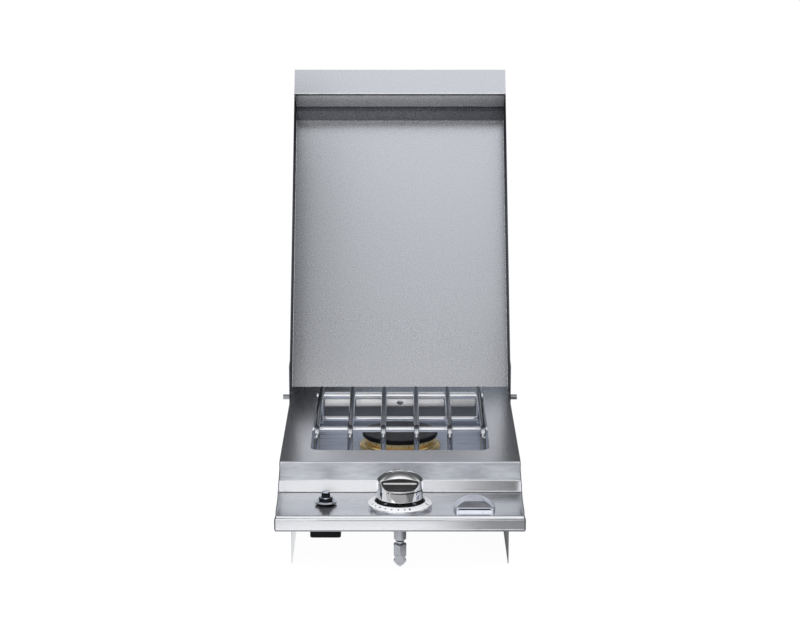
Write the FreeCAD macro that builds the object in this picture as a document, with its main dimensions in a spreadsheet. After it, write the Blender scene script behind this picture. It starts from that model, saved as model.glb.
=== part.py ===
import FreeCAD, Part
import math
import os

import Sketcher

# Built-in side burner for an outdoor kitchen, shown with its lid open.
# X runs to the right, Y to the back and Z up, in millimetres.
# The origin lies in the plane of the countertop, on the middle line of the unit.

V = FreeCAD.Vector
doc = FreeCAD.newDocument("SideBurner")

# Driving dimensions: alias, value, what it is
DIMENSIONS = [
    # Sheet metal frame
    ("gauge", 1.0, "sheet thickness of the frame"),
    ("ledge", 17.9, "width of the frame outside the box on each side"),
    ("front_y", -267.0, "front face of the lip"),
    ("rear_y", 267.0, "rear face of the back panel"),
    ("deck_z", 62.0, "top of the deck above the countertop"),
    ("deck_front_y", -145.0, "front face of the apron"),
    ("apron_height", 25.5, "height of the deck's front apron"),
    ("bend", 2.5, "outside radius of the visible bends"),
    ("foot_width", 14.0, "width of the folds that lie on the countertop"),
    ("box_screw_inset", 12.0, "end screws of the side plates, from the plates' ends"),
    ("assembly_gap", 0.1, "gap between pieces that slide into each other"),
    # Cut-out of the deck and the bowl under it
    ("well_width", 257.0, "width of the deck's cut-out"),
    ("well_front_gap", 59.0, "deck in front of the cut-out"),
    ("well_rear_gap", 33.0, "deck behind the cut-out"),
    ("well_corner", 14.0, "corner radius of the cut-out"),
    ("well_flange", 23.0, "depth of the rim folded down round the cut-out"),
    ("bowl_floor_z", 15.0, "top of the bowl's floor"),
    ("bowl_drop", 8.0, "top edge of the bowl's wall below the deck"),
    ("bowl_corner", 5.0, "radius between the bowl's floor and its wall"),
    ("bowl_screw_drop", 17.0, "screws that hold the bowl, below the deck"),
    # Control panel
    ("panel_z", 20.0, "top of the control panel"),
    ("step_foot", 8.7, "foot of the sloping step in front of the apron"),
    ("step_rise", 16.5, "height of the sloping step"),
    ("step_run", 5.2, "how far the sloping step leans back"),
    ("lip_return", 12.0, "length of the lip's folds round the side cheeks"),
    ("lip_bend", 6.0, "outside radius between the control panel and the lip"),
    # Side cheeks
    ("cheek_edge", 10.5, "straight front edge of the cheek beside the apron"),
    ("cheek_shoulder_run", 27.0, "where the cheek's top edge starts its curve, from the apron"),
    ("cheek_shoulder_z", 42.0, "height of the cheek's top edge there"),
    ("cheek_shoulder_round", 12.0, "radius of the curve's start"),
    ("cheek_toe_run", 61.0, "where the curve ends, from the apron"),
    ("cheek_toe_z", 27.0, "height of the cheek's top edge there"),
    ("cheek_toe_round", 30.0, "radius of the curve's end"),
    ("cheek_nose_z", 24.5, "height of the cheek's top edge at the front"),
    ("cheek_nose_run", 8.0, "slope of the cheek's top edge at the front"),
    # Box below the countertop
    ("box_width", 305.2, "width over the side plates"),
    ("box_depth", 73.0, "depth of the box below the countertop"),
    ("plate_setback", 75.0, "front edge of the side plates behind the lip"),
    ("plate_rear_gap", 35.0, "rear edge of the side plates in front of the back panel"),
    ("plate_hole_z", -33.0, "height of the small fixing holes"),
    ("plate_hole_inset", 5.5, "distance of these holes from the edge"),
    # Hinge
    ("pivot_inset", 21.0, "hinge line in front of the back panel"),
    ("pivot_drop", 11.0, "hinge line below the deck"),
    ("pin_radius", 4.0, "hinge pins"),
    ("pin_clearance", 0.06, "radial clearance of the lid on its pins"),
    ("pin_proud", 10.6, "how far a pin stands out of the lid"),
    ("pin_inside", 8.0, "how far a pin reaches inside the cheek"),
    ("washer_radius", 9.0, "hinge washers"),
    ("washer_play", 0.3, "free play of the hinge washers"),
    ("clip_radius", 7.0, "retaining rings on the pins"),
    ("clip_thickness", 1.5, "retaining rings on the pins"),
    # Lid
    ("lid_gauge", 1.2, "sheet thickness of the lid"),
    ("lid_gap", 1.7, "gap between the lid's sides and the cheeks"),
    ("lid_front_gap", 4.0, "lid's front skirt ahead of the lip when closed"),
    ("lid_flange", 42.0, "width of the handle flange"),
    ("lid_room", 4.5, "room between the closed lid and the grate"),
    ("lid_bottom", 25.5, "lower edge of the lid below the hinge line when closed"),
    ("lid_tail", 10.5, "how far the lid's top reaches behind the hinge line"),
    ("lid_bend", 2.4, "outside radius of the lid's bends"),
    ("lid_lean", 33.5, "how far the open lid leans back from upright"),
    ("ear_start", 52.0, "where the hinge ear begins, from the hinge line"),
    ("ear_front", 36.0, "tip of the ear, from the hinge line"),
    ("ear_depth", 47.0, "tip of the ear, below the hinge line"),
    ("ear_back", 19.5, "rear corner of the ear, from the hinge line"),
    ("ear_back_depth", 12.0, "rear corner of the ear, below the hinge line"),
    ("ear_round", 6.0, "radius of the ear's corners"),
    ("stop_radius", 3.0, "studs that the closed lid rests on"),
    ("stop_proud", 4.6, "how far a stop stud stands out of the cheek"),
    ("stop_reach", 15.0, "distance of a stop stud in front of the hinge line"),
    # Grate
    ("rod", 8.0, "diameter of the grate's rods"),
    ("grate_rise", 17.0, "top of the grate above the deck"),
    ("grate_margin", 7.0, "outer rods inside the edge of the cut-out"),
    ("grate_front_gap", 62.0, "front legs behind the front of the cut-out"),
    ("grate_rear_gap", 18.0, "rear legs in front of the back of the cut-out"),
    ("grate_bend", 13.0, "centre line radius of the rods' bends"),
    ("cross_overhang", 1.0, "ends of the upper cross rods outside the cut-out"),
    ("cross_front_gap", 28.0, "front upper cross rod behind the front legs"),
    ("cross_rear_gap", 23.0, "rear upper cross rod in front of the rear legs"),
    ("low_cross_rise", 11.0, "centre of the lower cross rods above the bowl's floor"),
    # Burner
    ("burner_offset", 17.0, "burner behind the middle of the cut-out"),
    ("cap_radius", 56.8, "burner cap"),
    ("cap_rise", 26.0, "top of the burner cap above the bowl's floor"),
    ("cap_thickness", 8.0, "height of the cap's edge"),
    ("head_radius", 50.0, "flame ring"),
    ("head_height", 9.0, "flame ring"),
    ("head_wall", 7.0, "wall of the flame ring"),
    ("port_width", 1.8, "gas ports of the flame ring"),
    ("port_depth", 4.0, "gas ports of the flame ring"),
    ("base_radius", 61.4, "brass base ring"),
    ("throat_radius", 26.0, "opening from the mixing chamber into the flame ring"),
    ("cup_radius", 36.0, "mixing chamber under the bowl"),
    ("cup_depth", 34.5, "mixing chamber under the bowl"),
    ("cup_wall", 4.0, "mixing chamber under the bowl"),
    ("tube_radius", 14.0, "mixing tube"),
    ("tube_wall", 1.5, "mixing tube"),
    ("tube_z", -3.0, "centre of the mixing tube"),
    ("tube_gap", 36.0, "mouth of the mixing tube behind the knob's axis"),
    ("shutter_length", 22.0, "air shutter"),
    ("shutter_wall", 1.2, "air shutter"),
    ("shutter_clearance", 0.08, "radial clearance of the air shutter on the tube"),
    ("shutter_window", 12.0, "length of the air windows"),
    ("electrode_gap", 3.6, "spark electrode behind the brass base ring"),
    ("electrode_radius", 3.0, "ceramic of the spark electrode"),
    ("electrode_drop", 3.0, "top of the ceramic below the cap"),
    ("electrode_tail", 12.0, "ceramic below the bowl"),
    # Gas valve and inlet
    ("knob_setback", 49.0, "axis of the knob behind the lip"),
    ("valve_width", 27.0, "valve body"),
    ("valve_bottom_z", -13.0, "valve body"),
    ("plug_radius", 7.0, "turning plug in the valve body"),
    ("plug_bottom_z", -9.0, "turning plug in the valve body"),
    ("plug_clearance", 0.05, "radial clearance of the plug"),
    ("stem_radius", 4.0, "valve stem"),
    ("stem_clearance", 0.05, "radial clearance of the stem in the plug"),
    ("stem_hole", 9.0, "radius of the hole in the panel round the stem"),
    ("jet_radius", 4.5, "gas jet"),
    ("jet_length", 9.0, "gas jet"),
    ("valve_screw_offset", 20.0, "valve screws beside the stem"),
    ("inlet_radius", 8.8, "gas inlet"),
    ("inlet_length", 17.6, "barrel of the gas inlet below the valve"),
    ("inlet_neck", 5.6, "radius of the neck above the nut"),
    ("nut_top_z", -33.5, "swivel nut of the gas inlet"),
    ("nut_height", 16.0, "swivel nut of the gas inlet"),
    ("nipple_height", 11.0, "straight part of the gas nipple"),
    ("nipple_cone", 7.6, "cone at the end of the gas nipple"),
    # Knob and bezel
    ("knob_radius", 32.0, "knob"),
    ("knob_bottom", 13.0, "lower edge of the knob above the panel"),
    ("knob_shoulder", 26.6, "where the knob's dome starts, above its lower edge"),
    ("knob_height", 39.0, "top of the knob's dome above its lower edge"),
    ("knob_rim", 18.0, "floor of the finger recesses above the knob's lower edge"),
    ("knob_web", 4.0, "metal between the stem and the floor of the finger recesses"),
    ("knob_recess_round", 9.0, "radius of the finger recesses' corners"),
    ("knob_recess_width", 51.5, "finger recesses"),
    ("knob_recess_side", 9.4, "height of the finger recesses at their ends"),
    ("knob_recess_top", 15.1, "height of the finger recesses in the middle, under their arch"),
    ("grip_inset", 0.8, "edge of the grip pads inside the recesses"),
    ("grip_thickness", 1.2, "grip pads"),
    ("rib_height", 2.8, "rib across the grip pads"),
    ("rib_rise", 5.8, "middle of the rib above the recesses' floor"),
    ("knob_bar", 28.0, "thickness of the knob's grip bar"),
    ("knob_travel", 3.0, "how far the knob is pushed in"),
    ("bezel_radius", 44.8, "bezel"),
    ("bezel_seat", 40.0, "radius of the bezel where it meets the panel"),
    ("bezel_inner", 34.5, "opening of the bezel"),
    ("bezel_edge", 5.0, "height of the bezel's outer edge"),
    ("bezel_crown", 9.0, "height of the bezel's inner edge"),
    # Igniter
    ("igniter_inset", 67.5, "axis of the igniter inside the frame's side"),
    ("igniter_setback", 58.0, "axis of the igniter behind the lip"),
    ("igniter_flange", 15.6, "radius of the igniter's flange"),
    ("igniter_flange_height", 5.0, "height of the igniter's flange"),
    ("igniter_nut_width", 19.0, "hexagon nut, across its flats"),
    ("igniter_nut_height", 6.0, "hexagon nut"),
    ("button_radius", 6.0, "push button"),
    ("button_height", 18.6, "top of the push button above the panel"),
    ("button_travel", 4.0, "travel of the push button"),
    ("button_clearance", 0.3, "radial clearance of the push button"),
    ("module_width", 43.0, "spark module"),
    ("module_depth", 36.0, "spark module"),
    ("module_height", 38.3, "spark module"),
    # Badge plate
    ("badge_inset", 67.9, "middle of the badge plate inside the frame's side"),
    ("badge_setback", 20.0, "straight front of the badge plate behind the lip"),
    ("badge_radius", 29.0, "radius of the badge plate's round back"),
    ("badge_chord", 15.5, "centre of the badge plate's round back behind its front"),
    ("badge_front_height", 6.5, "badge plate at its front"),
    ("badge_rear_height", 12.0, "badge plate at its back"),
    ("badge_crown", 1.6, "how far the middle of the badge plate is below its back"),
    ("badge_side_height", 3.4, "badge plate at its left and right ends"),
    ("badge_arch", 0.6, "arch over the badge plate's width, above its back"),
    ("badge_groove", 1.6, "groove along the front of the badge plate"),
    # Fasteners
    ("screw_radius", 2.0, "shanks of the screws"),
    ("screw_head", 4.0, "radius of the screw heads"),
    ("screw_head_height", 2.2, "height of the screw heads"),
    ("screw_length", 8.0, "length of the screws under their heads"),
]

BAR_COUNT = 6
PORT_COUNT = 24


class Size:
    """A length or an angle: its value now, and the sheet expression that gives it."""

    def __init__(self, value, text):
        self.value = float(value)
        self.text = text

    def __add__(self, other):
        return Size(self.value + number(other), f"({self.text} + {words(other)})")

    def __radd__(self, other):
        return Size(number(other) + self.value, f"({words(other)} + {self.text})")

    def __sub__(self, other):
        return Size(self.value - number(other), f"({self.text} - {words(other)})")

    def __rsub__(self, other):
        return Size(number(other) - self.value, f"({words(other)} - {self.text})")

    def __mul__(self, other):
        return Size(self.value * number(other), f"({self.text} * {words(other)})")

    def __rmul__(self, other):
        return Size(number(other) * self.value, f"({words(other)} * {self.text})")

    def __truediv__(self, other):
        return Size(self.value / number(other), f"({self.text} / {words(other)})")

    def __neg__(self):
        return Size(-self.value, f"(-1 * {self.text})")


def number(size):
    return size.value if isinstance(size, Size) else float(size)


def words(size):
    return size.text if isinstance(size, Size) else repr(float(size))


def root(size):
    return Size(math.sqrt(size.value), f"sqrt({size.text})")


def sine(angle):
    return Size(math.sin(math.radians(angle.value)), f"sin({angle.text} * 1deg)")


def cosine(angle):
    return Size(math.cos(math.radians(angle.value)), f"cos({angle.text} * 1deg)")


class Sizes:
    """The driving dimensions as attributes, in step with the spreadsheet."""

    def __init__(self, rows):
        sheet = doc.addObject("Spreadsheet::Sheet", "Sizes")
        for row, (alias, value, note) in enumerate(rows, start=1):
            sheet.set(f"A{row}", note)
            sheet.set(f"B{row}", str(value))
            sheet.setAlias(f"B{row}", alias)
            setattr(self, alias, Size(value, f"Sizes.{alias}"))
        doc.recompute()


s = Sizes(DIMENSIONS)

# Places that follow from the driving dimensions
half_width = s.box_width / 2 + s.ledge
frame_width = half_width * 2
lid_inner = half_width + s.lid_gap
lid_half = lid_inner + s.lid_gauge
apron_bottom_z = s.deck_z - s.apron_height
s.well_front_y = s.deck_front_y + s.well_front_gap
s.well_rear_y = s.rear_y - s.well_rear_gap
s.bowl_top_z = s.deck_z - s.bowl_drop
s.bowl_screw_z = s.deck_z - s.bowl_screw_drop
s.panel_foot_y = s.deck_front_y - s.step_foot
s.plate_front_y = s.front_y + s.plate_setback
s.plate_rear_y = s.rear_y - s.plate_rear_gap
s.pivot_y = s.rear_y - s.pivot_inset
s.pivot_z = s.deck_z - s.pivot_drop
s.grate_top_z = s.deck_z + s.grate_rise
s.grate_front_y = s.well_front_y + s.grate_front_gap
s.grate_rear_y = s.well_rear_y - s.grate_rear_gap
s.low_cross_z = s.bowl_floor_z + s.low_cross_rise
s.burner_y = (s.well_front_y + s.well_rear_y) / 2 + s.burner_offset
s.cap_top_z = s.bowl_floor_z + s.cap_rise
s.electrode_y = s.burner_y + s.base_radius + s.electrode_gap + s.electrode_radius
s.electrode_top_z = s.cap_top_z - s.cap_thickness - s.electrode_drop
s.knob_y = s.front_y + s.knob_setback
s.knob_bottom_z = s.panel_z + s.knob_bottom
s.knob_shoulder_z = s.knob_bottom_z + s.knob_shoulder
s.knob_top_z = s.knob_bottom_z + s.knob_height
s.knob_rim_z = s.knob_bottom_z + s.knob_rim
s.tube_front_y = s.knob_y + s.tube_gap
s.igniter_x = s.igniter_inset - half_width
s.igniter_y = s.front_y + s.igniter_setback
s.badge_x = half_width - s.badge_inset
s.badge_front_y = s.front_y + s.badge_setback
s.badge_y = s.badge_front_y + s.badge_chord
s.lid_top = s.grate_top_z + s.lid_room + s.lid_gauge - s.pivot_z
s.lid_length = s.pivot_y - s.front_y + s.lid_front_gap + s.lid_flange
s.washer_thickness = s.lid_gap - s.washer_play
pieces = []


# Binding and placing
def bind(item, prop, size):
    if isinstance(size, Size):
        item.setExpression(prop, size.text)
    else:
        setattr(item, prop, size)


def place(item, at, axis=None, angle=None):
    """Puts an object at a point, turned about an axis, with both bound to the sheet."""
    start = V(*[number(c) for c in at])
    turn = FreeCAD.Rotation(axis, number(angle)) if axis is not None else FreeCAD.Rotation()
    item.Placement = FreeCAD.Placement(start, turn)
    for letter, coordinate in zip("xyz", at):
        if isinstance(coordinate, Size):
            item.setExpression(f"Placement.Base.{letter}", coordinate.text)
    if isinstance(angle, Size):
        item.setExpression("Placement.Rotation.Angle", f"{angle.text} * 1deg")


def keep(item, label):
    """Marks an object as a sub-part that is exported under its label."""
    item.Label = label
    pieces.append(item)
    return item


def named(kind, name, **sizes):
    item = doc.addObject(kind, name)
    for prop, size in sizes.items():
        bind(item, prop, size)
    return item


def cylinder(name, radius, height, at, axis=None, angle=90):
    """A cylinder whose base stands at a point; it points up unless it is turned."""
    item = named("Part::Cylinder", name, Radius=radius, Height=height)
    place(item, at, axis, angle if axis is not None else None)
    return item


def block(name, low, high):
    length, width, height = (high[i] - low[i] for i in range(3))
    item = named("Part::Box", name, Length=length, Width=width, Height=height)
    place(item, low)
    return item


def cut(name, base, tool):
    item = doc.addObject("Part::Cut", name)
    item.Base, item.Tool = base, tool
    return item


def fuse(name, parts):
    item = doc.addObject("Part::MultiFuse", name)
    item.Shapes = parts
    return item


def group(name, parts):
    item = doc.addObject("Part::Compound", name)
    item.Links = parts
    return item


# Bodies, sketches and features
def new_body(label):
    return keep(doc.addObject("PartDesign::Body", label), label)


def new_sketch(body, role, offset=None):
    """A sketch on one of the body's own origin planes, moved along the plane's normal."""
    sketch = body.newObject("Sketcher::SketchObject", f"{body.Name}_outline")
    plane = next(f for f in body.Origin.OriginFeatures if f.Role == role)
    sketch.AttachmentSupport = (plane, "")
    sketch.MapMode = "FlatFace"
    if offset is not None:
        sketch.AttachmentOffset = FreeCAD.Placement(V(0, 0, number(offset)), FreeCAD.Rotation())
        if isinstance(offset, Size):
            sketch.setExpression("AttachmentOffset.Base.z", offset.text)
    return sketch


def pin_point(sketch, geometry, position, x, y):
    """Holds a point of the sketch at a place that is bound to the sheet."""
    for kind, size in (("DistanceX", x), ("DistanceY", y)):
        rule = sketch.addConstraint(Sketcher.Constraint(kind, -1, 1, geometry, position, number(size)))
        if isinstance(size, Size):
            sketch.setExpression(f"Constraints[{rule}]", size.text)


def rounded_ends(points, radii, index):
    """Where the arc at a corner begins and ends, and its centre."""
    here = V(*points[index], 0)
    before = V(*points[index - 1], 0)
    after = V(*points[(index + 1) % len(points)], 0)
    if radii[index] == 0:
        return here, here, here
    back = (before - here).normalize()
    ahead = (after - here).normalize()
    half = back.getAngle(ahead) / 2
    reach = radii[index] / math.tan(half)
    centre = here + (back + ahead).normalize() * (radii[index] / math.sin(half))
    return here + back * reach, here + ahead * reach, centre


def draw(sketch, corners, closed=True, domes=()):
    """Lines through the corners; a third value rounds a corner, and a dome is an arc centred on the axis."""
    points = [(number(c[0]), number(c[1])) for c in corners]
    radii = [number(c[2]) if len(c) > 2 else 0.0 for c in corners]
    count = len(points)
    ends = [rounded_ends(points, radii, i) for i in range(count)]
    sides = []
    for i in range(count if closed else count - 1):
        start, stop = ends[i][1], ends[(i + 1) % count][0]
        if i in domes:
            sides.append(dome_arc(sketch, start, stop))
        else:
            sides.append(sketch.addGeometry(Part.LineSegment(start, stop), False))
    for i, corner in enumerate(corners):
        first = i == 0 and not closed
        last = i == count - 1 and not closed
        side_in, side_out = sides[i - 1], sides[i % len(sides)]
        turned_round = {side for k, side in enumerate(sides) if k in domes and swapped(ends, k, count)}
        start_of = {side: 2 if side in turned_round else 1 for side in sides}
        end_of = {side: 3 - start_of[side] for side in sides}
        if radii[i] == 0:
            if not (first or last):
                sketch.addConstraint(
                    Sketcher.Constraint("Coincident", side_in, end_of[side_in], side_out, start_of[side_out])
                )
            held = (side_in, end_of[side_in]) if last else (side_out, start_of[side_out])
            pin_point(sketch, *held, corner[0], corner[1])
            continue
        point = sketch.addGeometry(Part.Point(V(*points[i], 0)), True)
        pin_point(sketch, point, 1, corner[0], corner[1])
        begin, finish, centre = ends[i]
        left = (begin - centre).cross(finish - centre).z > 0
        first_end, second_end = (begin, finish) if left else (finish, begin)
        circle = Part.Circle(centre, V(0, 0, 1), radii[i])
        arc = sketch.addGeometry(
            Part.ArcOfCircle(circle, circle.parameter(first_end), circle.parameter(second_end)), False
        )
        sketch.addConstraint(Sketcher.Constraint("Tangent", side_in, 2, arc, 1 if left else 2))
        sketch.addConstraint(Sketcher.Constraint("Tangent", arc, 2 if left else 1, side_out, 1))
        rule = sketch.addConstraint(Sketcher.Constraint("Radius", arc, radii[i]))
        if isinstance(corner[2], Size):
            sketch.setExpression(f"Constraints[{rule}]", corner[2].text)
        sketch.addConstraint(Sketcher.Constraint("PointOnObject", point, 1, side_in))
        sketch.addConstraint(Sketcher.Constraint("PointOnObject", point, 1, side_out))
    return sketch


def swapped(ends, index, count):
    """True where a dome runs clockwise, so that its arc is stored the other way round."""
    start, stop = ends[index][1], ends[(index + 1) % count][0]
    return start.x * stop.y - start.y * stop.x < 0


def dome_arc(sketch, start, stop):
    """An arc between two points whose centre lies on the sketch's upright axis."""
    middle = (start + stop) * 0.5
    slope = stop - start
    centre = V(0, middle.y + middle.x * slope.x / slope.y, 0)
    circle = Part.Circle(centre, V(0, 0, 1), (start - centre).Length)
    left = (start - centre).cross(stop - centre).z > 0
    first, second = (start, stop) if left else (stop, start)
    arc = Part.ArcOfCircle(circle, circle.parameter(first), circle.parameter(second))
    geometry = sketch.addGeometry(arc, False)
    sketch.addConstraint(Sketcher.Constraint("PointOnObject", geometry, 3, -2))
    return geometry


def draw_circle(sketch, x, y, radius):
    geometry = sketch.addGeometry(Part.Circle(V(number(x), number(y), 0), V(0, 0, 1), number(radius)), False)
    pin_point(sketch, geometry, 3, x, y)
    rule = sketch.addConstraint(Sketcher.Constraint("Radius", geometry, number(radius)))
    if isinstance(radius, Size):
        sketch.setExpression(f"Constraints[{rule}]", radius.text)
    return sketch


def pad(body, sketch, length, both=False, back=False):
    item = body.newObject("PartDesign::Pad", f"{body.Name}_pad")
    item.Profile = sketch
    item.SideType = "Symmetric" if both else "One side"
    item.Reversed = back
    bind(item, "Length", length)
    doc.recompute()
    return item


def pocket(body, sketch, length=None, both=False, back=False):
    """A pocket to a depth, or right through the body where no depth is given."""
    before = body.Shape.Volume
    item = body.newObject("PartDesign::Pocket", f"{body.Name}_pocket")
    item.Profile = sketch
    item.SideType = "Symmetric" if both else "One side"
    item.Reversed = back
    if length is None:
        item.Type = "ThroughAll"
    else:
        bind(item, "Length", length)
    doc.recompute()
    if item.Shape.Volume > before - 0.01:
        raise RuntimeError(f"{item.Name} cuts nothing")
    return item


def revolve(body, sketch):
    """Turns the sketch's outline right round its own upright axis."""
    item = body.newObject("PartDesign::Revolution", f"{body.Name}_turn")
    item.Profile = sketch
    item.ReferenceAxis = (sketch, ["V_Axis"])
    item.Angle = 360
    doc.recompute()
    return item


def fillet(body, radius, test):
    """Rounds the edges of the body's tip that pass a test."""
    tip = body.Tip
    edges = [f"Edge{i}" for i, edge in enumerate(tip.Shape.Edges, start=1) if test(edge)]
    if not edges:
        raise RuntimeError(f"no edge to round on {body.Label}")
    item = body.newObject("PartDesign::Fillet", f"{body.Name}_round")
    item.Base = (tip, edges)
    bind(item, "Radius", radius)
    doc.recompute()
    return item


def shell(body, wall, test):
    """Hollows the body's tip inwards, open at the faces that pass a test."""
    tip = body.Tip
    faces = [f"Face{i}" for i, face in enumerate(tip.Shape.Faces, start=1) if test(face)]
    item = body.newObject("PartDesign::Thickness", f"{body.Name}_shell")
    item.Base = (tip, faces)
    item.Reversed = True
    item.Join = "Intersection"
    bind(item, "Value", wall)
    doc.recompute()
    return item


def near(a, b, slack=0.01):
    return abs(number(a) - number(b)) < slack


def level_edge(z):
    """A test for edges that lie in the level plane at a height."""
    return lambda edge: near(edge.BoundBox.ZMin, z) and near(edge.BoundBox.ZMax, z)


def rectangle(low, high, corner=None):
    """Corners of a rectangle, all rounded alike where a radius is given."""
    extra = () if corner is None else (corner,)
    corners = (low, (high[0], low[1]), high, (low[0], high[1]))
    return [(x, y, *extra) for x, y in corners]


def turned(label, outline, x, y, domes=()):
    """A body of revolution about an upright axis; the outline is radius and height."""
    body = new_body(label)
    revolve(body, draw(new_sketch(body, "XZ_Plane"), outline, domes=domes))
    place(body, (x, y, 0))
    return body


# Deck with its apron and the rim of the cut-out
def make_top_panel():
    body = new_body("top_panel")
    under = s.deck_z - s.gauge
    profile = [
        (s.rear_y, s.deck_z),
        (s.deck_front_y, s.deck_z, s.bend),
        (s.deck_front_y, apron_bottom_z),
        (s.deck_front_y + s.gauge, apron_bottom_z),
        (s.deck_front_y + s.gauge, under, s.bend - s.gauge),
        (s.rear_y, under),
    ]
    inside = frame_width - 2 * (s.gauge + s.assembly_gap)
    pad(body, draw(new_sketch(body, "YZ_Plane"), profile), inside, both=True)
    sheet = rectangle((-1 * half_width, s.deck_front_y + s.bend), (half_width, s.rear_y))
    pad(body, draw(new_sketch(body, "XY_Plane", under), sheet), s.gauge)
    rim = rectangle(
        (-1 * s.well_width / 2 - s.gauge, s.well_front_y - s.gauge),
        (s.well_width / 2 + s.gauge, s.well_rear_y + s.gauge),
        s.well_corner + s.gauge,
    )
    rim_bottom = s.deck_z - s.well_flange
    pad(body, draw(new_sketch(body, "XY_Plane", rim_bottom), rim), s.well_flange)
    opening = rectangle(
        (-1 * s.well_width / 2, s.well_front_y), (s.well_width / 2, s.well_rear_y), s.well_corner
    )
    pocket(body, draw(new_sketch(body, "XY_Plane", rim_bottom), opening), s.well_flange, back=True)

    def on_opening(edge):
        box = edge.BoundBox
        inside = box.XMin > -number(s.well_width) / 2 - 0.01 and box.XMax < number(s.well_width) / 2 + 0.01
        return level_edge(s.deck_z)(edge) and inside and box.YMin > number(s.well_front_y) - 0.01

    fillet(body, s.bend / 2, on_opening)
    hole = draw_circle(new_sketch(body, "XZ_Plane"), 0, s.bowl_screw_z, s.screw_radius)
    pocket(body, hole, both=True)


# Side cheeks, which close the unit's sides and carry the hinge pins
def make_side_cheek(label, side):
    body = new_body(label)
    rear = s.rear_y - s.gauge
    front = s.front_y + s.gauge
    under_deck = s.deck_z - s.gauge
    inner = (half_width - s.gauge) * side
    outline = [
        (rear, 0),
        (rear, under_deck),
        (s.deck_front_y, under_deck, s.bend),
        (s.deck_front_y, under_deck - s.cheek_edge),
        (s.deck_front_y - s.cheek_shoulder_run, s.cheek_shoulder_z, s.cheek_shoulder_round),
        (s.deck_front_y - s.cheek_toe_run, s.cheek_toe_z, s.cheek_toe_round),
        (front + s.cheek_nose_run, s.cheek_nose_z, s.cheek_nose_run / 2),
        (front, s.panel_z - s.lip_bend / 2),
        (front, 0),
    ]
    pad(body, draw(new_sketch(body, "YZ_Plane", inner), outline), s.gauge, back=side < 0)
    deck_seat = s.deck_front_y + 2 * s.gauge + s.bend
    lip_seat = s.front_y + s.foot_width + s.assembly_gap
    for low_z, start, stop in ((0, lip_seat, rear), (under_deck - s.gauge, deck_seat, rear)):
        fold = rectangle((inner - side * s.foot_width, start), (inner, stop))
        pad(body, draw(new_sketch(body, "XY_Plane", low_z), fold), s.gauge)
    hole = draw_circle(new_sketch(body, "YZ_Plane"), s.pivot_y, s.pivot_z, s.pin_radius)
    pocket(body, hole, both=True)
    stop_y, stop_z = stop_place()
    hole = draw_circle(new_sketch(body, "YZ_Plane"), stop_y, stop_z, s.screw_radius)
    pocket(body, hole, both=True)
    box_screw_holes(body, side, 0)


def box_screw_places(side):
    x = (half_width - s.gauge - s.foot_width / 2) * side
    middle = (s.plate_front_y + s.plate_rear_y) / 2
    return [(x, y) for y in (s.plate_front_y + s.box_screw_inset, middle, s.plate_rear_y - s.box_screw_inset)]


def box_screw_holes(body, side, low_z):
    holes = new_sketch(body, "XY_Plane", low_z)
    for x, y in box_screw_places(side):
        draw_circle(holes, x, y, s.screw_radius)
    pocket(body, holes, s.gauge, back=True)


def ear_edge():
    """Ends of the ear's lower edge with the lid closed: front tip, then rear corner."""
    front = (s.pivot_y - s.ear_front, s.pivot_z - s.ear_depth)
    back = (s.pivot_y + s.ear_back, s.pivot_z - s.ear_back_depth)
    return front, back


def stop_place():
    """Centre of a stop stud, just under the ear's lower edge when the lid is closed."""
    front, back = ear_edge()
    rise, run = back[1] - front[1], back[0] - front[0]
    length = root(rise * rise + run * run)
    y = s.pivot_y - s.stop_reach
    edge_z = front[1] + (y - front[0]) * rise / run
    return y, edge_z - (s.stop_radius + 3 * s.assembly_gap) * length / run


# Back panel
def make_rear_panel():
    body = new_body("rear_panel")
    inner = s.rear_y - s.gauge
    top = s.deck_z - s.gauge
    profile = [
        (s.rear_y, 0),
        (s.rear_y, top),
        (inner - s.foot_width, top),
        (inner - s.foot_width, top - s.gauge),
        (inner, top - s.gauge),
        (inner, s.gauge),
        (inner - s.foot_width, s.gauge),
        (inner - s.foot_width, 0),
    ]
    inside = frame_width - 2 * (s.gauge + s.foot_width + s.assembly_gap)
    pad(body, draw(new_sketch(body, "YZ_Plane"), profile), inside, both=True)
    face = rectangle((-1 * half_width, 0), (half_width, top))
    pad(body, draw(new_sketch(body, "XZ_Plane", -1 * inner), face), s.gauge, back=True)


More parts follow.
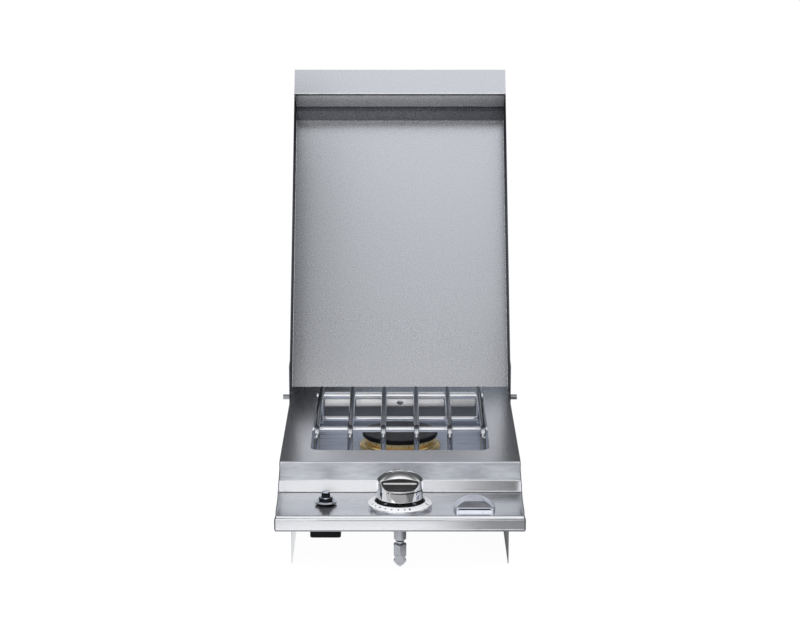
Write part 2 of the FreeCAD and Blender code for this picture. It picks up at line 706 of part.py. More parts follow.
# Control panel with its sloping step and front lip
def make_control_panel():
    body = new_body("control_panel")
    slope = s.step_run / s.step_rise
    shift = s.gauge * root(s.step_run * s.step_run + s.step_rise * s.step_rise) / s.step_rise
    step_top = s.panel_z + s.step_rise
    step_top_y = s.panel_foot_y + s.step_run
    under = s.panel_z - s.gauge
    tongue_y = s.deck_front_y + s.gauge + s.assembly_gap
    profile = [
        (tongue_y, step_top + 10),
        (tongue_y, step_top),
        (step_top_y, step_top, s.bend * 0.8),
        (s.panel_foot_y, s.panel_z),
        (s.front_y, s.panel_z, s.lip_bend),
        (s.front_y, 0),
        (s.front_y + s.foot_width, 0),
        (s.front_y + s.foot_width, s.gauge),
        (s.front_y + s.gauge, s.gauge),
        (s.front_y + s.gauge, under, s.lip_bend - s.gauge),
        (s.panel_foot_y - s.gauge * slope + shift, under),
        (step_top_y - s.gauge * slope + shift, step_top - s.gauge),
        (tongue_y + s.gauge, step_top - s.gauge),
        (tongue_y + s.gauge, step_top + 10),
    ]
    inside = frame_width - 2 * (s.gauge + s.assembly_gap)
    pad(body, draw(new_sketch(body, "YZ_Plane"), profile), inside, both=True)
    # The lip runs past both cheeks and is folded back along them
    lip_height = s.panel_z - s.lip_bend / 2
    reach = half_width + s.gauge
    for side in (-1, 1):
        wing = rectangle((inside / 2 * side, 0), (reach * side, lip_height))
        pad(body, draw(new_sketch(body, "XZ_Plane", -1 * s.front_y - s.gauge), wing), s.gauge)
        fold = rectangle((s.front_y, 0), (s.front_y + s.lip_return, lip_height))
        pad(body, draw(new_sketch(body, "YZ_Plane", half_width * side), fold), s.gauge, back=side < 0)
    openings = (
        (0, s.knob_y, s.stem_hole),
        (-1 * s.valve_screw_offset, s.knob_y, s.screw_radius),
        (s.valve_screw_offset, s.knob_y, s.screw_radius),
        (s.igniter_x, s.igniter_y, s.button_radius + 2),
        *[(x, s.badge_y, s.screw_radius) for x in badge_stud_x()],
    )
    holes = new_sketch(body, "XY_Plane", under - s.gauge)
    for x, y, radius in openings:
        draw_circle(holes, x, y, radius)
    pocket(body, holes, s.gauge * 4, back=True)


# Box below the countertop
def make_side_plate(label, side):
    body = new_body(label)
    outer = s.box_width / 2
    top = s.gauge * 2
    outline = rectangle((s.plate_front_y, -1 * s.box_depth), (s.plate_rear_y, top))
    sketch = new_sketch(body, "YZ_Plane", (outer - s.gauge) * side)
    pad(body, draw(sketch, outline), s.gauge, back=side < 0)
    flange = rectangle(
        (outer * side, s.plate_front_y), ((half_width - s.gauge * 2) * side, s.plate_rear_y)
    )
    pad(body, draw(new_sketch(body, "XY_Plane", s.gauge), flange), s.gauge)
    holes = new_sketch(body, "YZ_Plane")
    for y in (s.plate_front_y + s.plate_hole_inset, s.plate_rear_y - s.plate_hole_inset * 4):
        draw_circle(holes, y, s.plate_hole_z, s.screw_radius)
    pocket(body, holes, both=True)
    box_screw_holes(body, side, s.gauge)


def make_box_rear_wall():
    body = new_body("box_rear_wall")
    inside = s.box_width / 2 - s.gauge
    rear = s.plate_rear_y - s.plate_hole_inset * 2
    wall = rectangle((-1 * inside, -1 * s.box_depth), (inside, 0))
    pad(body, draw(new_sketch(body, "XZ_Plane", -1 * rear), wall), s.gauge)
    for side in (-1, 1):
        fold = rectangle((rear - 4 * s.plate_hole_inset, -1 * s.box_depth), (rear, 0))
        sketch = new_sketch(body, "YZ_Plane", (inside - s.gauge) * side)
        pad(body, draw(sketch, fold), s.gauge, back=side < 0)
    holes = draw_circle(
        new_sketch(body, "YZ_Plane"), s.plate_rear_y - s.plate_hole_inset * 4, s.plate_hole_z, s.screw_radius
    )
    pocket(body, holes, both=True)


# Bowl that catches spills, hung on the rim of the cut-out
def make_bowl():
    body = new_body("burner_bowl")
    out = s.gauge * 2 + s.assembly_gap
    bottom = s.bowl_floor_z - s.gauge
    outline = rectangle(
        (-1 * s.well_width / 2 - out, s.well_front_y - out),
        (s.well_width / 2 + out, s.well_rear_y + out),
        s.well_corner + out,
    )
    pad(body, draw(new_sketch(body, "XY_Plane", bottom), outline), s.bowl_top_z - bottom)
    fillet(body, s.bowl_corner, level_edge(bottom))
    shell(body, s.gauge, lambda face: near(face.BoundBox.ZMin, s.bowl_top_z))
    holes = new_sketch(body, "XY_Plane", bottom - s.gauge)
    draw_circle(holes, 0, s.burner_y, s.throat_radius + s.cup_wall + s.assembly_gap)
    draw_circle(holes, 0, s.electrode_y, s.electrode_radius + s.assembly_gap)
    pocket(body, holes, s.gauge * 4, back=True)
    hole = draw_circle(new_sketch(body, "XZ_Plane"), 0, s.bowl_screw_z, s.screw_radius)
    pocket(body, hole, both=True)


# Burner: mixing chamber, brass base ring, flame ring and cap
def make_burner():
    floor = s.bowl_floor_z
    under = floor - s.gauge
    base_top = s.cap_top_z - s.cap_thickness - s.head_height
    collar = s.throat_radius + s.cup_wall
    cup_bottom = under - s.cup_depth
    # Mixing chamber: a cup under the bowl with a collar that comes up through its floor
    cup = [
        (0, cup_bottom),
        (s.cup_radius - s.cup_wall, cup_bottom),
        (s.cup_radius, cup_bottom + s.cup_wall),
        (s.cup_radius, under),
        (collar, under),
        (collar, base_top - 2),
        (s.throat_radius, base_top - 2),
        (s.throat_radius, cup_bottom + s.cup_wall + 6),
        (0, cup_bottom + s.cup_wall),
    ]
    body = turned("burner_cup", cup, 0, s.burner_y)
    port = draw_circle(new_sketch(body, "XZ_Plane"), 0, s.tube_z, s.tube_radius)
    pocket(body, port, s.cup_radius * 2, back=True)
    # Base ring with its stepped mouldings
    step = (s.base_radius - s.head_radius) / 4
    base = [
        (collar + s.assembly_gap, floor),
        (s.base_radius - step / 2, floor),
        (s.base_radius, floor + step * 0.8),
        (s.base_radius, floor + step * 1.5, step / 2),
        (s.base_radius - step, floor + step * 2),
        (s.base_radius - step, floor + step * 2.4),
        (s.base_radius - 2 * step, floor + step * 2.7),
        (s.base_radius - 2 * step, base_top - step * 0.3),
        (s.base_radius - 2.3 * step, base_top),
        (collar + s.assembly_gap, base_top),
    ]
    turned("burner_base", base, 0, s.burner_y)
    # Flame ring with a row of gas ports through its wall
    head_top = base_top + s.head_height
    inner = s.head_radius - s.head_wall
    head = [
        (inner, base_top),
        (s.head_radius - 1.5, base_top),
        (s.head_radius, base_top + 1.5),
        (s.head_radius, head_top - 1),
        (s.head_radius - 1, head_top),
        (inner, head_top),
    ]
    body = turned("burner_head", head, 0, s.burner_y)
    middle = base_top + s.head_height / 2
    slot = rectangle(
        (-1 * s.port_width / 2, middle - s.port_depth / 2), (s.port_width / 2, middle + s.port_depth / 2)
    )
    first = pocket(body, draw(new_sketch(body, "XZ_Plane"), slot), s.head_radius + 1, back=True)
    ring = body.newObject("PartDesign::PolarPattern", "head_ports")
    ring.Originals = [first]
    ring.Axis = (body.Origin.OriginFeatures[2], [""])
    ring.Angle = 360
    ring.Occurrences = PORT_COUNT
    body.Tip = ring
    doc.recompute()
    # Cap: crowned top, rounded rim and a locating ring that sits inside the flame ring
    cap_bottom = s.cap_top_z - s.cap_thickness
    locate = inner - 0.3
    cap = [
        (0, cap_bottom - 3),
        (locate, cap_bottom - 3),
        (locate, cap_bottom),
        (s.cap_radius - 1.5, cap_bottom),
        (s.cap_radius, cap_bottom + 1.5),
        (s.cap_radius, s.cap_top_z - 1, 2.5),
        (s.cap_radius - 6, s.cap_top_z - 0.6),
        (0, s.cap_top_z),
    ]
    turned("burner_cap", cap, 0, s.burner_y, domes=(6,))


# Mixing tube, air shutter and gas jet between the valve and the burner
def make_gas_path():
    front, axis = s.tube_front_y, V(1, 0, 0)
    length = s.burner_y - s.throat_radius - s.cup_wall / 2 - front
    outer = cylinder("tube_outside", s.tube_radius, length, (0, front, s.tube_z), axis, -90)
    bore = cylinder("tube_bore", s.tube_radius - s.tube_wall, length, (0, front, s.tube_z), axis, -90)
    window = block(
        "tube_window",
        (-1 * s.tube_radius * 2, front + 5, s.tube_z - 6),
        (s.tube_radius * 2, front + 5 + s.shutter_window, s.tube_z + 6),
    )
    keep(cut("mixing_tube", cut("tube_hollow", outer, bore), window), "mixing_tube")
    # The shutter turns on the tube and covers its two air windows
    inner = s.tube_radius + s.shutter_clearance
    mouth = (0, front, s.tube_z)
    sleeve = cylinder("sleeve_outside", inner + s.shutter_wall, s.shutter_length, mouth, axis, -90)
    sleeve_bore = cylinder("sleeve_bore", inner, s.shutter_length, mouth, axis, -90)
    air = block(
        "sleeve_window",
        (-1 * s.tube_radius * 2, front + 5, s.tube_z - 7),
        (s.tube_radius * 2, front + 5 + s.shutter_window, s.tube_z + 7),
    )
    keep(cut("air_shutter", cut("sleeve_hollow", sleeve, sleeve_bore), air), "air_shutter")
    # Gas jet, screwed into the back of the valve and reaching into the tube's mouth
    start = s.knob_y + s.valve_width / 2
    jet = cylinder("jet_body", s.jet_radius, s.jet_length, (0, start, s.tube_z), axis, -90)
    reach = s.tube_front_y - start - s.jet_length + 8
    nose = named("Part::Cone", "jet_nose", Radius1=s.jet_radius, Radius2=1.6, Height=reach)
    place(nose, (0, start + s.jet_length, s.tube_z), axis, -90)
    keep(fuse("gas_jet", [jet, nose]), "gas_jet")
    # Bracket that carries the tube's front end on the control panel
    near_y = front + s.shutter_length + 1
    saddle = block("saddle", (-8, near_y, s.tube_z + s.tube_radius - 3), (8, near_y + 5, s.panel_z - s.gauge))
    seat = cylinder("saddle_seat", s.tube_radius, 5, (0, near_y, s.tube_z), axis, -90)
    keep(cut("tube_bracket", saddle, seat), "tube_bracket")


# Spark electrode behind the burner
def make_electrode():
    bottom = s.bowl_floor_z - s.gauge - s.electrode_tail
    height = s.electrode_top_z - bottom
    ceramic = cylinder("ceramic", s.electrode_radius, height, (0, s.electrode_y, bottom))
    collar = cylinder("ceramic_collar", s.electrode_radius + 2, 3, (0, s.electrode_y, s.bowl_floor_z))
    keep(fuse("spark_electrode", [ceramic, collar]), "spark_electrode")
    reach = s.electrode_y - s.burner_y - s.head_radius - 4
    wire = new_body("spark_wire")
    rise = 2
    path = [
        (s.electrode_y, s.electrode_top_z),
        (s.electrode_y, s.electrode_top_z + rise, 1.6),
        (s.electrode_y - reach, s.electrode_top_z + rise - 1),
    ]
    spine = draw(new_sketch(wire, "YZ_Plane"), path, closed=False)
    profile = draw_circle(new_sketch(wire, "XY_Plane", s.electrode_top_z), 0, s.electrode_y, 0.8)
    sweep(wire, profile, spine)


def sweep(body, profile, spine):
    item = body.newObject("PartDesign::AdditivePipe", f"{body.Name}_rod")
    item.Profile = profile
    item.Spine = (spine, [f"Edge{i}" for i in range(1, len(spine.Shape.Edges) + 1)])
    doc.recompute()
    return item


# Gas valve: body, turning plug and stem
def make_valve():
    body = new_body("gas_valve_body")
    top = s.panel_z - s.gauge
    half = s.valve_width / 2
    block_outline = rectangle((-1 * half, s.knob_y - half), (half, s.knob_y + half), 3)
    pad(body, draw(new_sketch(body, "XY_Plane", s.valve_bottom_z), block_outline), top - s.valve_bottom_z - 6)
    ears = rectangle(
        (-1 * s.valve_screw_offset - 6, s.knob_y - 11), (s.valve_screw_offset + 6, s.knob_y + 11), 5
    )
    pad(body, draw(new_sketch(body, "XY_Plane", top - 6), ears), 6)
    bore = s.plug_radius + s.plug_clearance
    hole = draw_circle(new_sketch(body, "XY_Plane", s.plug_bottom_z), 0, s.knob_y, bore)
    pocket(body, hole, top - s.plug_bottom_z, back=True)
    screws = new_sketch(body, "XY_Plane", top - 6)
    for side in (-1, 1):
        draw_circle(screws, s.valve_screw_offset * side, s.knob_y, s.screw_radius)
    pocket(body, screws, 6, back=True)
    # Plug: turns with the knob and guides the stem
    plug_top = top - 1
    plug = [
        (s.stem_radius + s.stem_clearance, s.plug_bottom_z + 5),
        (s.stem_radius + s.stem_clearance, plug_top),
        (s.plug_radius, plug_top),
        (s.plug_radius, s.plug_bottom_z + 0.3),
        (0, s.plug_bottom_z + 0.3),
        (0, s.plug_bottom_z + 5),
    ]
    turned("valve_plug", plug, 0, s.knob_y)
    stem_bottom = s.plug_bottom_z + 5 + s.knob_travel + 0.5
    stem_top = s.knob_rim_z - s.knob_web
    stem = cylinder("stem", s.stem_radius, stem_top - stem_bottom, (0, s.knob_y, stem_bottom))
    keep(stem, "valve_stem")


# Gas inlet under the valve: barrel, swivel nut and nipple
def make_inlet():
    top = s.valve_bottom_z
    shoulder = top - s.inlet_length
    barrel = [
        (0, top),
        (s.inlet_radius, top),
        (s.inlet_radius, shoulder + 3, 2.5),
        (s.inlet_neck, shoulder),
        (s.inlet_neck, s.nut_top_z - 4),
        (0, s.nut_top_z - 4),
    ]
    turned("gas_inlet", barrel, 0, s.knob_y)
    width = s.inlet_radius * 2 / math.sqrt(3)
    nut = named("Part::Prism", "nut_blank", Polygon=6, Circumradius=width, Height=s.nut_height)
    place(nut, (0, s.knob_y, s.nut_top_z - s.nut_height), V(0, 0, 1), 30)
    cone_height = 9
    neck = s.inlet_neck + 0.5
    chamfer = named("Part::Cone", "nut_chamfer", Radius1=width + 3, Radius2=neck, Height=cone_height)
    chamfer_base = named("Part::Cylinder", "nut_turned", Radius=width, Height=s.nut_height - cone_height + 3)
    place(chamfer, (0, s.knob_y, s.nut_top_z - cone_height + 2.5))
    place(chamfer_base, (0, s.knob_y, s.nut_top_z - s.nut_height))
    turned_nut = doc.addObject("Part::MultiCommon", "nut_shape")
    turned_nut.Shapes = [nut, fuse("nut_envelope", [chamfer, chamfer_base])]
    low = s.nut_top_z - s.nut_height
    bore = cylinder("nut_bore", s.inlet_neck + s.assembly_gap, s.nut_height + 1, (0, s.knob_y, low))
    keep(cut("swivel_nut", turned_nut, bore), "swivel_nut")
    nipple = [
        (0, s.nut_top_z - 4),
        (s.inlet_neck, s.nut_top_z - 4),
        (s.inlet_neck, low),
        (s.inlet_radius, low),
        (s.inlet_radius, low - s.nipple_height),
        (s.inlet_radius - 2.2, low - s.nipple_height - 1.6),
        (s.inlet_radius - 2.4, low - s.nipple_height - 3),
        (1, low - s.nipple_height - s.nipple_cone),
        (0, low - s.nipple_height - s.nipple_cone),
    ]
    body = turned("gas_nipple", nipple, 0, s.knob_y)
    flats = new_sketch(body, "XZ_Plane")
    reach = s.inlet_radius - 1.4
    for side in (-1, 1):
        notch = rectangle((reach * side, low - 8), ((s.inlet_radius + 1) * side, low - 3))
        draw(flats, notch)
    pocket(body, flats, s.inlet_radius * 3, both=True)


# Knob with its domed grip bar, and the bezel round it
def recess_outline(inset=0.0):
    """Front view of a finger recess: rounded below, arched above."""
    half = s.knob_recess_width / 2 - inset
    low = s.knob_rim_z + inset
    corner = s.knob_recess_round - inset
    side = s.knob_rim_z + s.knob_recess_side
    top = s.knob_rim_z + s.knob_recess_top - inset
    return [(-1 * half, side), (-1 * half, low, corner), (half, low, corner), (half, side), (0, top)]


def make_knob():
    body = new_body("knob")
    rim = 3
    profile = [
        (0, s.knob_bottom_z + rim + 1),
        (s.knob_radius - rim, s.knob_bottom_z + rim + 1),
        (s.knob_radius - rim, s.knob_bottom_z),
        (s.knob_radius - 0.8, s.knob_bottom_z),
        (s.knob_radius, s.knob_bottom_z + 0.8),
        (s.knob_radius, s.knob_shoulder_z),
        (s.knob_radius - 1.6, s.knob_shoulder_z + 1.4),
        (0, s.knob_top_z),
    ]
    revolve(body, draw(new_sketch(body, "XZ_Plane"), profile, domes=(6,)))
    # A recess for the fingers in front of the grip bar, and one behind it
    for side in (-1, 1):
        sketch = new_sketch(body, "XZ_Plane", s.knob_bar / 2 * -side)
        pocket(body, draw(sketch, recess_outline(), domes=(3, 4)), s.knob_radius, back=side < 0)
    bore = draw_circle(new_sketch(body, "XY_Plane", s.knob_bottom_z), 0, 0, s.stem_radius)
    pocket(body, bore, s.knob_rim - s.knob_web, back=True)
    place(body, (0, s.knob_y, 0))


def make_grip_pad(label, side):
    """A pad in a recess, on the bar's face, with a rib across it."""
    body = new_body(label)
    outline = recess_outline(s.grip_inset)
    sketch = new_sketch(body, "XZ_Plane", s.knob_bar / 2 * -side)
    pad(body, draw(sketch, outline, domes=(3, 4)), s.grip_thickness, back=side > 0)
    middle = s.knob_rim_z + s.rib_rise
    half = s.knob_recess_width / 2 - s.grip_inset * 3
    rib = rectangle((-1 * half, middle - s.rib_height / 2), (half, middle + s.rib_height / 2))
    sketch = new_sketch(body, "XZ_Plane", (s.knob_bar / 2 + s.grip_thickness) * -side)
    pad(body, draw(sketch, rib), s.grip_thickness / 2, back=side > 0)
    place(body, (0, s.knob_y, 0))


def make_bezel():
    edge_z, crown_z = s.panel_z + s.bezel_edge, s.panel_z + s.bezel_crown
    bezel = [
        (s.bezel_inner, s.panel_z),
        (s.bezel_seat, s.panel_z),
        (s.bezel_radius, edge_z - 1.5),
        (s.bezel_radius, edge_z),
        (s.bezel_inner + 1, crown_z),
        (s.bezel_inner, crown_z - 1),
    ]
    turned("bezel", bezel, 0, s.knob_y)


# Igniter: flange, nut, push button, barrel and spark module
def make_igniter():
    x, y, base = s.igniter_x, s.igniter_y, s.panel_z
    top = base + s.igniter_flange_height
    barrel = s.button_radius + 1.5
    flange = [
        (barrel, base),
        (s.igniter_flange - 3.5, base),
        (s.igniter_flange, base + 3),
        (s.igniter_flange - 0.6, base + 4.4),
        (s.igniter_flange - 3, base + 3.6),
        (barrel + 4, top),
        (barrel, top),
    ]
    turned("igniter_flange", flange, x, y)
    across = s.igniter_nut_width / math.sqrt(3)
    height = s.igniter_nut_height
    nut = named("Part::Prism", "igniter_nut_blank", Polygon=6, Circumradius=across, Height=height)
    place(nut, (x, y, top), V(0, 0, 1), 30)
    flat = s.igniter_nut_width / 2 - 1
    crown = named("Part::Cone", "igniter_nut_chamfer", Radius1=across + 4.5, Radius2=flat, Height=height)
    place(crown, (x, y, top))
    shaped = doc.addObject("Part::MultiCommon", "igniter_nut_shape")
    shaped.Shapes = [nut, crown]
    bore = cylinder("igniter_nut_bore", barrel, s.igniter_nut_height, (x, y, top))
    keep(cut("igniter_nut", shaped, bore), "igniter_nut")
    # Barrel: carries the nut above the panel and the spark module below it
    inner = s.button_radius + s.button_clearance
    nut_top = top + s.igniter_nut_height
    under = s.panel_z - s.gauge
    sleeve = [
        (inner, under - 6),
        (barrel, under - 6),
        (barrel, nut_top + 0.6),
        (inner, nut_top + 0.6),
    ]
    turned("igniter_barrel", sleeve, x, y)
    button_bottom = base - 3
    button_top = base + s.button_height
    button = [
        (0, button_bottom),
        (s.button_radius, button_bottom),
        (s.button_radius, button_top - 1.6),
        (s.button_radius - 1, button_top - 0.8),
        (0, button_top),
    ]
    turned("igniter_button", button, x, y, domes=(3,))
    body = new_body("spark_module")
    low_x, low_y = x - s.module_width / 2 - 0.5, y - s.module_depth / 2 + 5
    outline = rectangle((low_x, low_y), (low_x + s.module_width, low_y + s.module_depth), 4)
    module_bottom = under - 6 - s.module_height
    pad(body, draw(new_sketch(body, "XY_Plane", module_bottom), outline), s.module_height)
    fillet(body, 1.5, level_edge(module_bottom))


# Badge plate: a disc with a straight front, left bare, on two studs
def badge_stud_x():
    return [s.badge_x + side * s.badge_radius / 2 for side in (-1, 1)]


def make_badge():
    body = new_body("badge_plate")
    low, high = s.panel_z + s.badge_front_height, s.panel_z + s.badge_rear_height
    disc = draw_circle(new_sketch(body, "XY_Plane", s.panel_z), 0, s.badge_y, s.badge_radius)
    pad(body, disc, s.badge_rear_height)
    right = s.badge_radius + 1
    left = -1 * right
    ahead = rectangle((left, s.badge_y - s.badge_radius - 1), (right, s.badge_front_y))
    pocket(body, draw(new_sketch(body, "XY_Plane", s.panel_z), ahead), s.badge_rear_height, back=True)
    # The face slopes up from the straight front to the round back
    wedge = [
        (s.badge_front_y - 5, low),
        (s.badge_front_y + 2, low),
        (s.badge_y, high - s.badge_crown, s.badge_radius),
        (s.badge_y + s.badge_radius, high),
        (s.badge_y + s.badge_radius, high + 5),
        (s.badge_front_y - 5, high + 5),
    ]
    pocket(body, draw(new_sketch(body, "YZ_Plane"), wedge), both=True)
    # It also arches down to both ends
    ends = s.panel_z + s.badge_side_height
    arch_top = high + s.badge_arch
    arch = [(right, ends), (right, high + 5), (left, high + 5), (left, ends), (0, arch_top)]
    pocket(body, draw(new_sketch(body, "XZ_Plane"), arch, domes=(3, 4)), both=True)
    groove_z = s.panel_z + s.badge_front_height / 2
    groove = rectangle((left, groove_z), (right, groove_z + s.badge_groove))
    pocket(body, draw(new_sketch(body, "XZ_Plane", -1 * s.badge_front_y), groove), s.badge_groove)
    place(body, (s.badge_x, 0, 0))
    studs = [
        cylinder(f"badge_stud_{i}", s.screw_radius, s.gauge + 6, (x, s.badge_y, s.panel_z - s.gauge - 6))
        for i, x in enumerate(badge_stud_x(), start=1)
    ]
    keep(group("badge_studs", studs), "badge_studs")


# Hinge pins with their washers and retaining rings, and the stops of the closed lid
def make_hinge():
    axis = V(0, 1, 0)
    clips, stops = [], []
    for side, word in ((-1, "left"), (1, "right")):
        turn = 90 * side
        inside = (half_width - s.gauge - s.pin_inside) * side
        length = lid_half + s.pin_proud - half_width + s.gauge + s.pin_inside
        pin = cylinder(f"pin_{word}", s.pin_radius, length, (inside, s.pivot_y, s.pivot_z), axis, turn)
        keep(pin, f"hinge_pin_{word}")
        start = (half_width * side, s.pivot_y, s.pivot_z)
        disc = cylinder(f"washer_disc_{word}", s.washer_radius, s.washer_thickness, start, axis, turn)
        bore = cylinder(f"washer_bore_{word}", s.pin_radius, s.washer_thickness, start, axis, turn)
        keep(cut(f"washer_{word}", disc, bore), f"hinge_washer_{word}")
        start = ((half_width - s.gauge - s.clip_thickness) * side, s.pivot_y, s.pivot_z)
        disc = cylinder(f"clip_disc_{word}", s.clip_radius, s.clip_thickness, start, axis, turn)
        bore = cylinder(f"clip_bore_{word}", s.pin_radius, s.clip_thickness, start, axis, turn)
        clips.append(cut(f"clip_{word}", disc, bore))
        stop_y, stop_z = stop_place()
        start = ((half_width - s.gauge - 4) * side, stop_y, stop_z)
        shank = cylinder(f"stop_shank_{word}", s.screw_radius, s.gauge + 4, start, axis, turn)
        start = (half_width * side, stop_y, stop_z)
        stud = cylinder(f"stop_stud_{word}", s.stop_radius, s.stop_proud, start, axis, turn)
        stops.append(fuse(f"stop_{word}", [shank, stud]))
    keep(group("pin_clips", clips), "pin_clips")
    keep(group("lid_stops", stops), "lid_stops")


# Lid, drawn closed about its hinge line and then swung open
def make_lid():
    body = new_body("lid")
    skirt = s.lid_flange - s.lid_length
    side_view = [
        (s.lid_tail, s.lid_top),
        (skirt, s.lid_top),
        (skirt, -1 * s.lid_bottom),
        (-1 * s.ear_start, -1 * s.lid_bottom, s.ear_round),
        (-1 * s.ear_front, -1 * s.ear_depth, s.ear_round),
        (s.ear_back, -1 * s.ear_back_depth, s.ear_round),
    ]
    pad(body, draw(new_sketch(body, "YZ_Plane"), side_view), lid_half * 2, both=True)

    def folded(edge):
        box = edge.BoundBox
        at_top = near(box.ZMin, s.lid_top) and near(box.ZMax, s.lid_top)
        sides = box.YLength > 100 or near(box.YMin, skirt) and near(box.YMax, skirt)
        corner = near(box.YMin, skirt) and near(box.YMax, skirt) and box.ZLength > 40
        return at_top and sides or corner

    fillet(body, s.lid_bend, folded)

    inside = rectangle((-1 * lid_inner, skirt + s.lid_gauge), (lid_inner, s.ear_back + s.ear_round))
    inner_top = s.lid_top - s.lid_gauge
    low_z = -1 * s.ear_depth
    pocket(body, draw(new_sketch(body, "XY_Plane", low_z), inside), inner_top - low_z, back=True)

    def inner_bend(edge):
        box = edge.BoundBox
        return level_edge(inner_top)(edge) and box.XMax - box.XMin + box.YLength > 100 and box.YMin < -10

    fillet(body, s.lid_bend - s.lid_gauge, inner_bend)
    # Handle flange along the front skirt
    low = -1 * s.lid_bottom
    flange = rectangle((-1 * lid_half, -1 * s.lid_length), (lid_half, skirt + s.lid_gauge))
    pad(body, draw(new_sketch(body, "XY_Plane", low), flange), s.lid_gauge)
    bore = s.pin_radius + s.pin_clearance
    pocket(body, draw_circle(new_sketch(body, "YZ_Plane"), 0, 0, bore), both=True)
    place(body, (0, s.pivot_y, s.pivot_z), V(1, 0, 0), -1 * (90 + s.lid_lean))


# Grate: six bent rods, joined by cross rods under them
def make_grate():
    radius = s.rod / 2
    top = s.grate_top_z - radius
    low_length = s.well_width - 2 * s.grate_margin
    pitch = low_length / (BAR_COUNT - 1)
    for i in range(BAR_COUNT):
        x = pitch * (i - (BAR_COUNT - 1) / 2)
        body = new_body(f"grate_bar_{i + 1}")
        path = [
            (s.grate_front_y, s.bowl_floor_z),
            (s.grate_front_y, top, s.grate_bend),
            (s.grate_rear_y, top, s.grate_bend),
            (s.grate_rear_y, s.bowl_floor_z),
        ]
        spine = draw(new_sketch(body, "YZ_Plane"), path, closed=False)
        profile = draw_circle(new_sketch(body, "XY_Plane", s.bowl_floor_z), 0, s.grate_front_y, radius)
        sweep(body, profile, spine)
        place(body, (x, 0, 0))
    axis = V(0, 1, 0)
    upper = top - s.rod
    leg_gap = s.rod
    length = s.well_width + 2 * s.cross_overhang
    rods = (
        ("grate_cross_front", length, s.grate_front_y + s.cross_front_gap, upper),
        ("grate_cross_rear", length, s.grate_rear_y - s.cross_rear_gap, upper),
        ("grate_low_front", low_length, s.grate_front_y + leg_gap, s.low_cross_z),
        ("grate_low_rear", low_length, s.grate_rear_y - leg_gap, s.low_cross_z),
    )
    for label, length, y, z in rods:
        keep(cylinder(f"rod_{label}", radius, length, (-1 * length / 2, y, z), axis, 90), label)


# Screws: a domed head on a plain shank, pointing down or inwards
def screw(name, at, axis=None, angle=None, length=s.screw_length):
    """A pan head screw whose head sits on the point given, with its shank going the other way."""
    shank = named("Part::Cylinder", f"{name}_shank", Radius=s.screw_radius, Height=length)
    place(shank, (0, 0, -1 * length))
    head = named("Part::Cylinder", f"{name}_disc", Radius=s.screw_head, Height=s.screw_head_height)
    crown = named("Part::Cone", f"{name}_crown", Radius1=s.screw_head, Radius2=s.screw_head * 0.6, Height=0.8)
    place(crown, (0, 0, s.screw_head_height))
    item = fuse(name, [shank, head, crown])
    place(item, at, axis, angle)
    return item


def make_screws():
    front = screw("bowl_screw_front", (0, s.well_front_y, s.bowl_screw_z), V(1, 0, 0), -90)
    rear = screw("bowl_screw_rear", (0, s.well_rear_y, s.bowl_screw_z), V(1, 0, 0), 90)
    keep(group("bowl_screws", [front, rear]), "bowl_screws")
    valve = [
        screw(f"valve_screw_{i}", (s.valve_screw_offset * side, s.knob_y, s.panel_z))
        for i, side in enumerate((-1, 1), start=1)
    ]
    keep(group("valve_screws", valve), "valve_screws")
    box = []
    for side, word in ((-1, "left"), (1, "right")):
        for i, (x, y) in enumerate(box_screw_places(side), start=1):
            box.append(screw(f"box_screw_{word}_{i}", (x, y, s.gauge * 2), length=s.gauge * 2))
    keep(group("box_screws", box), "box_screws")


make_top_panel()
make_side_cheek("side_cheek_left", -1)
make_side_cheek("side_cheek_right", 1)
make_rear_panel()
make_control_panel()
make_side_plate("side_plate_left", -1)
make_side_plate("side_plate_right", 1)
make_box_rear_wall()
make_bowl()
make_burner()
make_gas_path()
make_electrode()
make_valve()
make_inlet()
make_knob()
make_grip_pad("grip_pad_front", -1)
make_grip_pad("grip_pad_rear", 1)
make_bezel()
make_igniter()
make_badge()
make_hinge()
make_lid()
make_grate()
make_screws()
doc.recompute()

# Check the whole document, then write one file per sub-part
for item in doc.Objects:
    if "Invalid" in item.State or "Error" in item.State:
        raise RuntimeError(f"{item.Label} failed: {item.State}")
for piece in pieces:
    if piece.Shape.isNull() or not piece.Shape.isValid():
        raise RuntimeError(f"{piece.Label} has no valid shape")

os.makedirs("parts", exist_ok=True)
for piece in pieces:
    piece.Shape.exportStep(os.path.join("parts", f"{piece.Label}.step"))
print(f"{len(pieces)} sub-parts written")
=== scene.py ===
import math

import bmesh
import bpy
import numpy as np
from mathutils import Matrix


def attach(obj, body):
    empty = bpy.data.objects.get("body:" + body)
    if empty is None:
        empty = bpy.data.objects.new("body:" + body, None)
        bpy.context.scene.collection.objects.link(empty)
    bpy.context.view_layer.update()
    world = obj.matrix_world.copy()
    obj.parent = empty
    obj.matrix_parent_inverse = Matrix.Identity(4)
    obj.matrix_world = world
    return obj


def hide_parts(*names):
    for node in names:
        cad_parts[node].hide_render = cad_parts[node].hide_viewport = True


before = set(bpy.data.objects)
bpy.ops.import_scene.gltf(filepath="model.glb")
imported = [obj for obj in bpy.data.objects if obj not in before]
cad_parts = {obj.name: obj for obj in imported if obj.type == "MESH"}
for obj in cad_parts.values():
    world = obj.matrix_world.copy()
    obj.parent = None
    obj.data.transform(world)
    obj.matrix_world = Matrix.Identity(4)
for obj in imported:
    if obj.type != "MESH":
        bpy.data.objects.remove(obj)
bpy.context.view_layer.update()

mm = 0.001
print("stage: frame loaded")

finishes = {}


